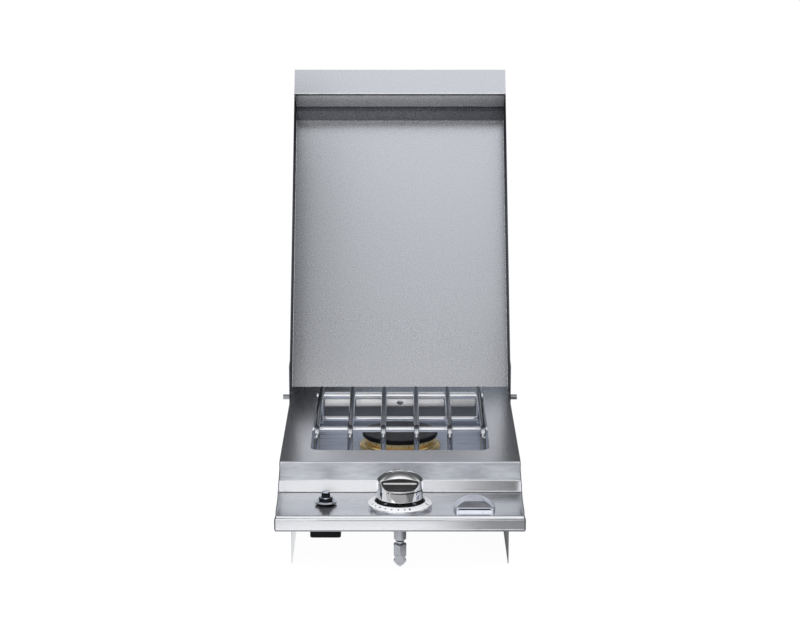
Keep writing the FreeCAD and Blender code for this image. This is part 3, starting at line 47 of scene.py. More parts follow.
# Meshes from grids of points, all in millimetres until the last step
def meshPiece(name, points, faces, finish, body, nodes=(), crease=38):
    data = bpy.data.meshes.new(name)
    data.from_pydata((np.asarray(points, float) * mm).tolist(), [], np.asarray(faces).tolist())
    work = bmesh.new()
    work.from_mesh(data)
    bmesh.ops.remove_doubles(work, verts=work.verts, dist=2e-6)  # closes seams and poles
    bmesh.ops.recalc_face_normals(work, faces=work.faces)
    work.to_mesh(data)
    work.free()
    data.shade_smooth()
    data.set_sharp_from_angle(angle=math.radians(crease))
    data.materials.append(finishes[finish])
    piece = bpy.data.objects.new(name, data)
    bpy.context.scene.collection.objects.link(piece)
    if nodes:
        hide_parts(*nodes)
    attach(piece, body)
    return piece


def gridFaces(rows, columns, wrapRows=False, wrapColumns=False):
    # Index of each grid point; a wrapped side meets its own start again
    index = np.arange(rows * columns).reshape(rows, columns)
    if wrapRows:
        index = np.vstack([index, index[:1]])
    if wrapColumns:
        index = np.hstack([index, index[:, :1]])
    return np.stack([index[:-1, :-1], index[:-1, 1:], index[1:, 1:], index[1:, :-1]], -1).reshape(-1, 4)


def gridPiece(name, grid, finish, body, slot, nodes=(), crease=38, wrapRows=False, wrapColumns=True):
    faces = gridFaces(*grid.shape[:2], wrapRows, wrapColumns)
    meshPiece(name, grid.reshape(-1, 3), faces, finish, body, nodes, crease)


def roundOutline(corners, steps=6, closed=False):
    # A corner (a, b, radius) becomes an arc touching both sides: centre + slerp of its two end directions
    spots = np.array([c[:2] for c in corners], float)
    radii = [c[2] if len(c) > 2 else 0.0 for c in corners]
    parts = []
    for i, radius in enumerate(radii):
        if radius == 0 or (not closed and i in (0, len(radii) - 1)):
            parts.append(spots[i:i + 1])
            continue
        back = spots[i - 1] - spots[i]
        ahead = spots[(i + 1) % len(radii)] - spots[i]
        back, ahead = back / np.linalg.norm(back), ahead / np.linalg.norm(ahead)
        half = math.acos(float(np.clip(back @ ahead, -1, 1))) / 2
        centre = spots[i] + (back + ahead) / np.linalg.norm(back + ahead) * radius / math.sin(half)
        first = spots[i] + back * radius / math.tan(half) - centre
        last = spots[i] + ahead * radius / math.tan(half) - centre
        turn = math.pi - 2 * half
        share = np.linspace(0, 1, steps + 1)[:, None]
        parts.append(centre + (np.sin((1 - share) * turn) * first + np.sin(share * turn) * last) / math.sin(turn))
    return np.vstack(parts)


def fullTurn(count):
    return np.linspace(0, 2 * math.pi, count, endpoint=False)


def turnedGrid(centre, angle, radius, height):
    # x = cx + r cos a, y = cy + r sin a, z = height
    x = centre[0] + radius * np.cos(angle)
    y = centre[1] + radius * np.sin(angle)
    return np.stack([x, y, np.broadcast_to(height, x.shape)], -1)


def turnedPiece(name, outline, centre, finish, body, slot, nodes=(), around=144, closed=False, crease=38):
    # The outline's (radius, height) points turned about the upright axis through the centre
    grid = turnedGrid(centre, fullTurn(around)[:, None], outline[:, 0], outline[:, 1])
    gridPiece(name, grid, finish, body, slot, nodes, crease, wrapRows=True, wrapColumns=closed)


def hexPiece(name, size, centre, finish, body, slot, nodes):
    # r(a) = across / 2 / cos(a - nearest flat), capped for the rounded corners; the upper end is turned at a slope
    angle, sixth = fullTurn(144), math.pi / 3
    outer = np.minimum(size["across"] / 2 / np.cos((angle + sixth / 2) % sixth - sixth / 2), size["corner"])
    seat = size["across"] / 2 - size["shoulder"]
    low, high = size["bottom"], size["bottom"] + size["height"]
    rows = [
        (size["bore"], low), (seat, low), (outer, low + size["bevel"]),
        (outer, high - (outer - seat) * size["slope"]), (seat, high), (size["bore"], high),
    ]
    radius, height = (np.stack([np.broadcast_to(row[i], angle.shape) for row in rows], 1) for i in (0, 1))
    grid = turnedGrid(centre, angle[:, None], radius, height)
    gridPiece(name, grid, finish, body, slot, nodes, crease=24, wrapRows=True)


def rodGrid(path, radii, sideways, around=32):
    # point + radius * (sideways cos a + normal sin a); the normal is square to the path and to sideways
    tangent = np.gradient(path, axis=0)
    tangent /= np.linalg.norm(tangent, axis=1, keepdims=True)
    normal = np.cross(tangent, sideways)
    angle = fullTurn(around)
    ring = np.cos(angle)[None, :, None] * sideways + np.sin(angle)[None, :, None] * normal[:, None, :]
    return path[:, None, :] + radii[:, None, None] * ring


def capped(rings):
    # A pole in the middle of the first and of the last ring closes both ends
    first, last = (np.broadcast_to(ring.mean(0), (1, *ring.shape)) for ring in (rings[0], rings[-1]))
    return np.concatenate([first, rings, last])


def alongX(xs, section):
    # The section's (y, z) points at each x, with closed ends
    rings = np.empty((len(xs), len(section), 3))
    rings[..., 0] = np.asarray(xs)[:, None]
    rings[..., 1:] = section
    return capped(rings)


def lengthAlong(line):
    return np.concatenate([[0], np.cumsum(np.hypot(*np.diff(line, axis=0).T))])


def archRadius(half, rise):
    # Of the circle through both ends of a chord and the top of its arch: (half^2 + rise^2) / 2 rise
    return (half * half + rise * rise) / (2 * rise)


def archLine(half, rise, top, end):
    # 90 points of an arch, from its right foot to its top (end 0) or on to its left foot (end -1)
    ball = archRadius(half, rise)
    turn = np.linspace(1, end, 90) * math.asin(half / ball)
    return np.column_stack([ball * np.sin(turn), top - ball + ball * np.cos(turn)])


def rampUp(value, edge, width):
    # 0 below the edge, 1 above it, with a smooth step of the given width between
    share = np.clip((value - edge) / width + 0.5, 0, 1)
    return share * share * (3 - 2 * share)


# Materials
def wire(tree, node, values):
    # Another node's output is linked to the input; a constant is set on the input itself
    for key, value in values.items():
        socket = node.inputs[key]
        if isinstance(value, bpy.types.NodeSocket):
            tree.links.new(value, socket)
        elif socket.type == "RGBA":
            socket.default_value = (*value, 1.0)
        else:
            socket.default_value = value
    return node


def addNode(tree, kind, values=(), **settings):
    node = tree.nodes.new(kind)
    for key, value in settings.items():
        setattr(node, key, value)
    return wire(tree, node, dict(values))


def newFinish(name):
    finish = bpy.data.materials.new(name)
    finish.use_nodes = True
    finishes[name] = finish
    return finish, finish.node_tree


def dressShader(tree, values):
    wire(tree, tree.nodes["Principled BSDF"], values)


def coordinate(tree, kind, axis):
    # One axis of the place on the piece ("Object") or of the way the surface faces ("Normal")
    source = addNode(tree, "ShaderNodeTexCoord").outputs[kind]
    return addNode(tree, "ShaderNodeSeparateXYZ", {"Vector": source}).outputs[axis]


def noise(tree, stretch, detail, roughness=0.5, offset=(0, 0, 0)):
    # Noise over the piece's own coordinates; stretch is cells per metre along X, Y and Z
    source = addNode(tree, "ShaderNodeTexCoord").outputs["Object"]
    mapping = addNode(tree, "ShaderNodeMapping", {"Vector": source, "Scale": stretch, "Location": offset})
    sockets = {"Vector": mapping.outputs["Vector"], "Scale": 1.0, "Detail": detail, "Roughness": roughness}
    return addNode(tree, "ShaderNodeTexNoise", sockets).outputs["Fac"]


def spread(tree, source, low, high, start=0.3, end=0.7, smooth=False):
    # low up to the start, high from the end on
    sockets = {"Value": source, "From Min": start, "From Max": end, "To Min": low, "To Max": high}
    kind = "SMOOTHSTEP" if smooth else "LINEAR"
    return addNode(tree, "ShaderNodeMapRange", sockets, interpolation_type=kind).outputs["Result"]


def rising(tree, source, start, end, smooth=False):
    return spread(tree, source, 0.0, 1.0, start, end, smooth)


def falling(tree, source, start, end):
    return spread(tree, source, 1.0, 0.0, start, end)


def mixColour(tree, factor, first, second):
    return addNode(tree, "ShaderNodeMix", {0: factor, 6: first, 7: second}, data_type="RGBA").outputs[2]


def calc(tree, operation, *values):
    return addNode(tree, "ShaderNodeMath", enumerate(values), operation=operation).outputs[0]


def product(tree, first, second):
    return calc(tree, "MULTIPLY", first, second)


def complement(tree, value):
    return calc(tree, "SUBTRACT", 1.0, value)


def absolute(tree, value):
    return calc(tree, "ABSOLUTE", value)


def addBump(tree, *layers):
    # Each layer is a height source with its strength and depth in millimetres, one bump on the next
    under = {}
    for source, strength, depth in layers:
        sockets = {"Height": source, "Strength": strength, "Distance": depth * mm, **under}
        under = {"Normal": addNode(tree, "ShaderNodeBump", sockets).outputs["Normal"]}
    dressShader(tree, under)


def scaled(colour, by):
    return tuple(min(1.0, c * by) for c in colour)


def lidPaintedLightAndShade(tree, colour, look):
    # Painted light and shade: the down-facing skirt is painted lighter and made duller, the sheet under it is painted
    # dark as a stand-in for the skirt's reflection, and the inner sides are painted near black as shade
    across, height = (coordinate(tree, "Object", axis) for axis in "XZ")
    outX, outY, outZ = (coordinate(tree, "Normal", axis) for axis in "XYZ")
    low, high, rim, rimTop = (look[key] * mm for key in ("low", "high", "rim", "rimTop"))
    # Painted light: the down-facing skirt is painted lighter and made duller
    under = product(tree, falling(tree, outZ, -0.6, -0.4), rising(tree, height, high, high + mm))
    colour = mixColour(tree, under, colour, look["skirt"])
    # Painted shade: the sheet just under the skirt is painted dark, a painted reflection of the skirt
    paintedShadeBand = product(tree, rising(tree, height, low, low + mm), falling(tree, height, high, high + mm))
    paintedShadeBand = product(tree, paintedShadeBand, falling(tree, outY, -0.5, -0.4))
    colour = mixColour(tree, paintedShadeBand, colour, look["paintedShadeBand"])
    # The front edge of the sheet lies past the rim and ends below its top; it gets the same painted shade as the inner
    # sides
    edge = rising(tree, absolute(tree, across), rim, rim + 0.2 * mm)
    edge = product(tree, edge, falling(tree, height, rimTop, rimTop + mm))
    edge = product(tree, edge, falling(tree, outY, -0.5, -0.3))
    # Painted shade: the inner sides are painted near black and lose their shine
    paintedInnerSideShade = falling(tree, product(tree, outX, across), -0.14, -0.1)
    side = calc(tree, "MAXIMUM", paintedInnerSideShade, edge)
    bare = complement(tree, side)
    metal = complement(tree, product(tree, under, look["matt"]))
    dressShader(tree, {"Metallic": product(tree, metal, bare), "Specular IOR Level": product(tree, bare, 0.5)})
    # The painted shade on the sides darkens higher up
    paintedSideShade = mixColour(tree, rising(tree, height, 0.3, 0.45), look["side"], look["sideShadeTop"])
    return mixColour(tree, side, colour, paintedSideShade)


def steelFinish(name, look):
    # Brushed sheet: grain along one axis, a faint cloudiness and the slow waves that folding leaves
    tree = newFinish(name)[1]
    dressShader(tree, {"Metallic": look["metallic"]})
    grain = noise(tree, look["grain"], 2.0, 0.6)
    cloud = noise(tree, look["cloud"], 2.0, offset=(3.1, 1.7, 0.4))
    wave = noise(tree, look["wave"], 1.0, offset=(0.7, 5.2, 2.9))
    tone = product(tree, spread(tree, grain, -1.0, 1.0), look["grainTone"])
    tone = calc(tree, "ADD", tone, spread(tree, cloud, -look["cloudTone"], look["cloudTone"]))
    colour = mixColour(tree, rising(tree, tone, -0.5, 0.5), scaled(look["colour"], 0.72), scaled(look["colour"], 1.28))
    rough = spread(tree, grain, look["roughness"] * 0.85, look["roughness"] * 1.15)
    layers = [(wave, look["waveStrength"], look["waveDepth"]), (grain, look["grainStrength"], look["grainDepth"])]
    if "fold" in look:
        # Past the fold the sheet is rippled and duller, and its tone follows the ripples as a painted reflection of
        # them
        fold = look["fold"]
        beyond = rising(tree, coordinate(tree, "Object", "Y"), fold["off"] * mm, fold["on"] * mm)
        ripple = noise(tree, fold["ripple"], 2.0, 0.45, (1.3, 4.2, 0.9))
        layers.append((product(tree, ripple, beyond), fold["strength"], fold["depth"]))
        rough = calc(tree, "ADD", rough, product(tree, beyond, fold["duller"]))
        dressShader(tree, {"Metallic": complement(tree, product(tree, beyond, fold["matt"]))})
        rippleReflectionTone = mixColour(tree, spread(tree, ripple, 0.0, 1.0), fold["dark"], fold["light"])
        colour = mixColour(tree, beyond, colour, rippleReflectionTone)
    if "corner" in look:
        # The lid gets painted light and shade by place and facing
        colour = lidPaintedLightAndShade(tree, colour, look["corner"])
    if "upright" in look:
        # Painted shade and light by facing: upright walls are painted darker than the floor, and the one that faces
        # back is painted light
        facingBack = rising(tree, coordinate(tree, "Normal", "Y"), 0.4, 0.6)
        paintedWalls = mixColour(tree, facingBack, look["upright"], look["paintedLightWall"])
        upright = falling(tree, absolute(tree, coordinate(tree, "Normal", "Z")), 0.25, 0.6)
        colour = mixColour(tree, upright, colour, paintedWalls)
    if "edge" in look:
        # Painted shade: the cut and folded edges of a side sheet, the faces that don't face sideways, are painted near
        # black
        edge = falling(tree, absolute(tree, coordinate(tree, "Normal", "X")), 0.75, 0.9)
        colour = mixColour(tree, edge, colour, look["edge"])
    dressShader(tree, {"Base Color": colour, "Roughness": rough})
    addBump(tree, *layers)


def chromeFinish(name, look):
    # Polished plating: fine orange peel, faint smears in the roughness
    tree = newFinish(name)[1]
    smear = noise(tree, look["smear"], 4.0)
    peel = noise(tree, look["grain"], 2.0)
    colour = mixColour(tree, spread(tree, smear, 0.0, 1.0), scaled(look["colour"], 0.93), look["colour"])
    # Painted by facing: surfaces that face up get their own colour, a painted dark reflection on the bars' tops and a
    # painted light reflection on the igniter's top faces
    if "upward" in look:
        paintedTopShare = rising(tree, coordinate(tree, "Normal", "Z"), *look["upwardFrom"], smooth=True)
        colour = mixColour(tree, paintedTopShare, colour, look["upward"])
    rough = spread(tree, smear, look["roughness"] * 0.7, look["roughness"] * 1.5)
    dressShader(tree, {"Base Color": colour, "Roughness": rough, "Metallic": look["metallic"]})
    addBump(tree, (peel, look["peel"], 0.02))


def plasticFinish(name, look):
    tree = newFinish(name)[1]
    cloud = noise(tree, look["cloud"], 4.0)
    texture = noise(tree, look["texture"], 3.0, 0.6)
    lifted = tuple(c * 1.5 + 0.004 for c in look["colour"])
    dressShader(tree, {
        "Base Color": mixColour(tree, spread(tree, cloud, 0.0, 1.0), look["colour"], lifted),
        "Roughness": spread(tree, cloud, look["roughness"] * 0.85, look["roughness"] * 1.15),
        "Specular IOR Level": look["gloss"], "Coat Weight": look["coat"], "Coat Roughness": look["coatRoughness"],
    })
    addBump(tree, (texture, look["bump"], 0.08))


def brassFinish(name, look):
    # Turned brass: rings about the burner's upright axis, a slight tarnish
    tree = newFinish(name)[1]
    source = addNode(tree, "ShaderNodeTexCoord").outputs["Object"]
    sockets = {"Vector": source, "Location": (0, -look["centreY"] * mm, 0), "Scale": (1, 1, 0)}
    fromAxis = addNode(tree, "ShaderNodeMapping", sockets).outputs["Vector"]
    length = addNode(tree, "ShaderNodeVectorMath", {0: fromAxis}, operation="LENGTH").outputs["Value"]
    sockets = {"W": product(tree, length, look["rings"]), "Scale": 1.0}
    rings = addNode(tree, "ShaderNodeTexNoise", sockets, noise_dimensions="1D").outputs["Fac"]
    tarnish = noise(tree, look["tarnish"], 5.0)
    dressShader(tree, {
        "Base Color": mixColour(tree, spread(tree, tarnish, 0.0, 1.0), look["colour"], scaled(look["colour"], 0.85)),
        "Roughness": spread(tree, tarnish, look["roughness"] * 0.85, look["roughness"] * 1.2),
        "Metallic": look["metallic"],
    })
    addBump(tree, (rings, look["ringStrength"], 0.03))


# Each finish takes what it doesn't name from its kind's first dict
sheetSteel = {
    "colour": (0.65, 0.66, 0.69), "roughness": 0.27, "metallic": 1.0, "cloud": (3, 6, 6), "cloudTone": 0.015,
    "grain": (12, 900, 900), "grainTone": 0.02, "grainStrength": 0.012, "grainDepth": 0.02,
    "wave": (5, 9, 9), "waveStrength": 0.03, "waveDepth": 0.5,
}
steelLooks = {
    "deckSteel": {"roughness": 0.2, "fold": {
        "off": -143.6, "on": -144.4, "ripple": (55, 260, 260), "strength": 0.4, "depth": 0.3, "duller": 0.16,
        # dark and light are the painted reflection tones of the ripples
        "matt": 0.4, "dark": (0.53, 0.545, 0.585), "light": (0.665, 0.68, 0.72),
    }},
    # The cheeks' edges are painted near black as shade
    "cheekSteel": {"colour": (0.55, 0.56, 0.59), "edge": (0.04, 0.045, 0.06)},
    "panelSteel": {"colour": (0.74, 0.75, 0.78), "roughness": 0.24, "metallic": 0.96},
    "bowlSteel": {
        "colour": (0.46, 0.51, 0.62), "roughness": 0.3, "metallic": 0.55, "grain": (9, 500, 500), "grainTone": 0.06,
        # Painted shade on the upright walls and painted light on the wall that faces back
        "wave": (30, 45, 60), "waveStrength": 0.25, "upright": (0.24, 0.245, 0.26), "paintedLightWall": (0.95, 0.96, 0.98),
    },
    "lidSteel": {
        "colour": (0.62, 0.63, 0.655), "roughness": 0.26, "grain": (900, 900, 12), "wave": (3, 3, 3),
        "grainTone": 0.008, "grainStrength": 0.001, "corner": {
            # Colours of the lid's painted light and shade: lighter skirt, dark band under it, near-black sides
            "skirt": (0.68, 0.68, 0.68), "matt": 0.4, "low": 444.5, "high": 467.0, "paintedShadeBand": (0.19, 0.195, 0.215),
            "side": (0.09, 0.094, 0.104), "sideShadeTop": (0.03, 0.032, 0.037), "rim": 172.0, "rimTop": 494.0,
        },
    },
    "boxSteel": {"colour": (0.5, 0.51, 0.52), "roughness": 0.34, "cloudTone": 0.06, "grain": (400, 400, 30)},
    "boxShade": {
        "colour": (0.27, 0.275, 0.28), "roughness": 0.5, "metallic": 0.4, "cloudTone": 0.06, "grain": (400, 400, 30),
    },
    "plainSteel": {"colour": (0.55, 0.56, 0.58), "roughness": 0.28, "grain": (500, 500, 500)},
    "pinSteel": {"colour": (0.34, 0.35, 0.37), "roughness": 0.3, "grain": (30, 700, 700)},
    "trimSteel": {"colour": (0.66, 0.66, 0.67), "roughness": 0.2},
}
plating = {
    "roughness": 0.06, "peel": 0.03, "metallic": 1.0, "upwardFrom": (0.35, 0.8), "smear": (60, 60, 60),
    "grain": (420, 420, 420),
}
chromeLooks = {
    # The bars' tops are painted dark, a painted reflection
    "polishedBar": {"colour": (0.6, 0.62, 0.66), "upward": (0.1, 0.105, 0.125), "upwardFrom": (0.62, 0.88)},
    "polishedRod": {"colour": (0.86, 0.87, 0.9), "metallic": 0.85},
    "brightChrome": {"colour": (0.9, 0.9, 0.92), "roughness": 0.05, "peel": 0.02},
    "satinChrome": {"colour": (0.34, 0.35, 0.38), "roughness": 0.28, "peel": 0.05},
    "satinWhiteMetal": {"colour": (0.98, 0.98, 1.0), "roughness": 0.35, "metallic": 0.1},
    "ribMetal": {"colour": (0.8, 0.8, 0.79), "roughness": 0.34, "peel": 0.3},
    "badgeMetal": {"colour": (0.66, 0.68, 0.75), "roughness": 0.15, "metallic": 0.88},
    # The igniter's top faces are painted light, a painted reflection
    "darkChrome": {"colour": (0.02, 0.021, 0.025), "upward": (0.6, 0.63, 0.7), "roughness": 0.1},
    # Finishes of the painted highlight and painted shade strips along the folds
    "edgeHighlight": {"colour": (0.9, 0.9, 0.92), "roughness": 0.3, "peel": 0.02, "metallic": 0.5},
    "edgeShade": {"colour": (0.28, 0.29, 0.32), "roughness": 0.35, "peel": 0.02, "metallic": 0.6},
    "gapShade": {"colour": (0.07, 0.072, 0.08), "roughness": 0.5, "peel": 0.02, "metallic": 0.3},
}
moulded = {"roughness": 0.5, "bump": 0.05, "gloss": 0.5, "coat": 0.0, "coatRoughness": 0.06, "cloud": (90, 90, 90)}
plasticLooks = {
    "castMetal": {"colour": (0.42, 0.42, 0.43), "texture": (900, 900, 900), "bump": 0.4},
    "capEnamel": {
        "colour": (0.006, 0.006, 0.007), "roughness": 0.2, "texture": (700, 700, 700), "bump": 0.06, "gloss": 0.11,
    },
    "blackPlastic": {
        "colour": (0.003, 0.003, 0.004), "roughness": 0.45, "texture": (1500, 1500, 1500), "bump": 0.2, "gloss": 0.1,
    },
    "gripRubber": {"colour": (0.012, 0.012, 0.013), "texture": (700, 700, 900), "bump": 1.0},
    "glazedCeramic": {"colour": (0.8, 0.79, 0.75), "roughness": 0.2, "texture": (300, 300, 300), "coat": 0.5},
    "redEnamel": {"colour": (0.6, 0.02, 0.02), "roughness": 0.3, "texture": (300, 300, 300), "coat": 0.5},
    "inkBlack": {"colour": (0.006, 0.006, 0.008), "roughness": 0.4, "texture": (900, 900, 900), "gloss": 0.15},
}
brassLooks = {"burnerBrass": {
    "colour": (1.0, 0.77, 0.36), "roughness": 0.24, "metallic": 0.85, "centreY": 91, "rings": 1800.0,
    "ringStrength": 0.1, "tarnish": (45, 45, 45),
}}
for maker, common, looks in (
    (steelFinish, sheetSteel, steelLooks), (chromeFinish, plating, chromeLooks),
    (plasticFinish, moulded, plasticLooks), (brassFinish, {}, brassLooks),
):
    for name, look in looks.items():
        maker(name, {**common, **look})
print("stage: finishes made")

# Finishes of the CAD's own meshes
nodeFinishes = {
    "deckSteel": ["top_panel", "rear_panel"],
    "cheekSteel": ["side_cheek_left", "side_cheek_right"],
    "panelSteel": ["control_panel"],
    "bowlSteel": ["burner_bowl"],
    "lidSteel": ["lid"],
    "boxShade": ["side_plate_right"],
    "boxSteel": ["side_plate_left", "box_rear_wall", "tube_bracket", "hinge_washer_left", "hinge_washer_right"],
    "plainSteel": ["mixing_tube", "air_shutter", "spark_wire", "valve_stem", "lid_stops", "bowl_screws", "box_screws",
                   "valve_screws", "badge_studs"],
    "pinSteel": ["hinge_pin_left", "hinge_pin_right", "pin_clips"],
    "castMetal": ["burner_cup", "gas_valve_body"],
    "burnerBrass": ["valve_plug", "gas_jet", "burner_base", "burner_head"],
    "glazedCeramic": ["spark_electrode"],
    "blackPlastic": ["spark_module"],
    "darkChrome": ["igniter_barrel"],
}


def dressNodes():
    for finish, names in nodeFinishes.items():
        for node in (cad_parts[name] for name in names):
            if not node.material_slots:
                node.data.materials.append(finishes[finish])
            for each in node.material_slots:
                each.material = finishes[finish]


dressNodes()

# Grate; each crossing rod has its name, node, y, z and half length
grateLook = {
    "rod": 8.0, "top": 79.0, "front": -24.0, "rear": 216.0, "bend": 13.0, "foot": 15.0,
    "xs": [-121.5, -72.9, -24.3, 24.3, 72.9, 121.5], "bevel": 0.9, "arcSteps": 14,
    "crossing": [
        ("grateCrossFront", "grate_cross_front", 4.0, 67.0, 129.5),
        ("grateCrossRear", "grate_cross_rear", 193.0, 67.0, 129.5),
        ("grateLowFront", "grate_low_front", -16.0, 26.0, 121.5),
        ("grateLowRear", "grate_low_rear", 208.0, 26.0, 121.5),
    ],
}


def endBevel(path, radius, bevel):
    # The rod's ends: a pole, a flat face and a small bevel, then the full radius along the path
    start = (path[1] - path[0]) / np.linalg.norm(path[1] - path[0])
    stop = (path[-2] - path[-1]) / np.linalg.norm(path[-2] - path[-1])
    points = np.vstack([path[0], path[0] + start * 0.01, path[0] + start * bevel, path[1:-1],
                        path[-1] + stop * bevel, path[-1] + stop * 0.01, path[-1]])
    radii = np.full(len(points), radius)
    radii[[0, -1]] = 0.0
    radii[[1, -2]] = radius - bevel
    return points, radii


def makeGrate(look):
    radius = look["rod"] / 2
    centre = look["top"] - radius

    def addRod(name, node, path, sideways, finish):
        grid = rodGrid(*endBevel(path, radius, look["bevel"]), np.array(sideways))
        gridPiece(name, grid, finish, "grate", "polished_rod", [node], crease=40)

    line = roundOutline([
        (look["front"], look["foot"]), (look["front"], centre, look["bend"]),
        (look["rear"], centre, look["bend"]), (look["rear"], look["foot"]),
    ], look["arcSteps"])
    for i, x in enumerate(look["xs"], start=1):
        path = np.column_stack([np.full(len(line), x), line])
        addRod(f"grateBar{i}", f"grate_bar_{i}", path, (1.0, 0.0, 0.0), "polishedBar")
    for name, node, y, z, half in look["crossing"]:
        path = np.linspace((-half, y, z), (half, y, z), 12)
        addRod(name, node, path, (0.0, 0.0, 1.0), "polishedRod")


makeGrate(grateLook)
print("stage: grate made")

# Burner cap, flame ring and base ring
burnerLook = {
    "centre": (0.0, 91.0), "around": 192,
    "capRadius": 56.8, "capTop": 41.0, "capUnder": 33.0, "locate": 42.7, "capRim": 6.0, "capSag": 0.6,
    "ringRadius": 50.0, "ringInner": 43.0, "ringLow": 24.0, "ringHigh": 33.0,
    "ports": 24, "portWidth": 1.8, "portLow": 26.5, "portHigh": 30.5, "portDepth": 4.5,
    "baseRadius": 61.4, "baseInner": 30.1, "baseLow": 15.0,
}


def makeCap(look):
    # Over the rounded edge the top is z = top - sag * share^2
    edge, top, under, sag = look["capRadius"], look["capTop"], look["capUnder"], look["capSag"]
    rim = edge - look["capRim"]
    share = np.linspace(1, 0, 24)[1:]
    cap = np.vstack([
        roundOutline([
            (0, under - 3), (look["locate"], under - 3), (look["locate"], under), (edge - 1.4, under, 0.8),
            (edge, under + 1.6, 1.4), (edge, top - 0.9, 2.2), (rim, top - sag),
        ]),
        np.column_stack([share * rim, top - sag * share ** 2]),
    ])
    turnedPiece("burnerCap", cap, look["centre"], "capEnamel", "cap", "cap_enamel", ["burner_cap"], look["around"])


def makeFlameRing(look):
    # The wall steps inwards at each port: r = radius - depth inside a port's window
    pitch = 2 * math.pi / look["ports"]
    width = look["portWidth"] / look["ringRadius"]
    offsets = np.array([-0.5, -0.501, -0.25, 0.0, 0.25, 0.501, 0.5]) * width
    gaps = np.linspace(0.5 * width + 0.012, pitch - 0.5 * width - 0.012, 5)
    angles = np.sort((np.arange(look["ports"])[:, None] * pitch + np.concatenate([offsets, gaps])).ravel())
    isPort = np.abs((angles + pitch / 2) % pitch - pitch / 2) <= 0.5 * width + 1e-9
    low, high, bottom, top = (look[key] for key in ("portLow", "portHigh", "ringLow", "ringHigh"))
    height = np.array([bottom, bottom, bottom + 1.5, low, low + 0.01, high - 0.01, high, top - 1, top, top])
    radius = np.full(len(height), look["ringRadius"])
    radius[[0, -1]] = look["ringInner"]
    radius[[1, -2]] -= (1.5, 1.0)
    inPort = isPort[:, None] & (height > low + 0.005) & (height < high - 0.005)
    grid = turnedGrid(look["centre"], angles[:, None], np.where(inPort, radius - look["portDepth"], radius), height)
    gridPiece("flameRing", grid, "burnerBrass", "flame_ring", "brass", ["burner_head"], crease=30, wrapRows=True)


def makeBaseRing(look):
    # Mouldings step in from the base's edge towards the flame ring
    edge, inner, floor, top = look["baseRadius"], look["baseInner"], look["baseLow"], look["ringLow"]
    step = (edge - look["ringRadius"]) / 4
    base = roundOutline([
        (inner, floor), (edge - step / 2, floor), (edge, floor + step * 0.8, 0.8),
        (edge, floor + step * 1.5, step / 2), (edge - step, floor + step * 2), (edge - step, floor + step * 2.4, 0.3),
        (edge - 2 * step, floor + step * 2.7, 0.4), (edge - 2 * step, top - step * 0.3, 0.4),
        (edge - 2.3 * step, top), (inner, top),
    ], closed=True)
    turnedPiece("baseRing", base, look["centre"], "burnerBrass", "frame", "brass", ["burner_base"],
                look["around"], closed=True, crease=30)


makeCap(burnerLook)
makeFlameRing(burnerLook)
makeBaseRing(burnerLook)
print("stage: burner made")

# Knob: two halves, each a web of rings from the middle of its finger recess out to the silhouette
knobLook = {
    "centre": (0.0, -218.0), "radius": 32.0, "bottom": 33.0, "shoulder": 59.6, "chamfer": 61.0, "top": 72.0,
    "round": 2.2, "domeInset": 1.6, "bevel": 0.8, "hollow": 29.0, "roof": 4.0,
    "bar": 14.0, "floor": 49.2, "half": 25.75, "side": 60.4, "arch": 66.1, "corner": 10.5, "lip": 0.5,
    "below": 120, "beside": 60, "above": 90, "rings": 48, "spacing": 1.25,
}


def knobProfile(look):
    # (r, z) from the lower edge over the shoulder and the dome to the axis, with the share of the way at each point
    dome = archLine(look["radius"] - look["domeInset"], look["top"] - look["chamfer"], look["top"], 0)
    radius, bottom, bevel = look["radius"], look["bottom"], look["bevel"]
    wall = roundOutline([
        (radius - bevel, bottom), (radius, bottom + bevel, bevel), (radius, look["shoulder"], look["round"]),
        tuple(dome[0]),
    ], steps=12)
    line = np.vstack([wall, dome[1:]])
    along = lengthAlong(line)
    return along / along[-1], line


def recessOutline(look, inset=0.0):
    # Four runs of (x, z), matched to the sides of the web: low, right, arch, left; each is spaced evenly
    half, low, corner = look["half"] - inset, look["floor"] + inset, look["corner"] - inset
    side, top = look["side"], look["arch"] - inset
    edge = roundOutline([(-half, side), (-half, low, corner), (half, low, corner), (half, side)], steps=24)
    middle = len(edge) // 2
    lowLeft, lowRight = middle // 2 + 1, len(edge) - middle // 2 - 2
    spaced = []
    for run, count in (
        (edge[lowLeft:lowRight + 1], look["below"]), (edge[lowRight:], look["beside"]),
        (archLine(half, top - side, top, -1), look["above"]), (edge[:lowLeft + 1], look["beside"]),
    ):
        along = lengthAlong(run)
        want = np.linspace(0, along[-1], count, endpoint=False)
        spaced.append(np.column_stack([np.interp(want, along, run[:, 0]), np.interp(want, along, run[:, 1])]))
    return np.vstack(spaced)


def grown(outline, by):
    # Each point moves out along the normal of the closed line
    along = np.roll(outline, -1, axis=0) - np.roll(outline, 1, axis=0)
    along /= np.linalg.norm(along, axis=1, keepdims=True)
    return outline + by * np.column_stack([along[:, 1], -along[:, 0]])


def uprightRing(outline, middle, share, y):
    # The (x, z) outline drawn in towards its middle, standing at y
    drawn = middle + (outline - middle) * share
    return np.column_stack([drawn[:, 0], np.broadcast_to(y, len(drawn)), drawn[:, 1]])


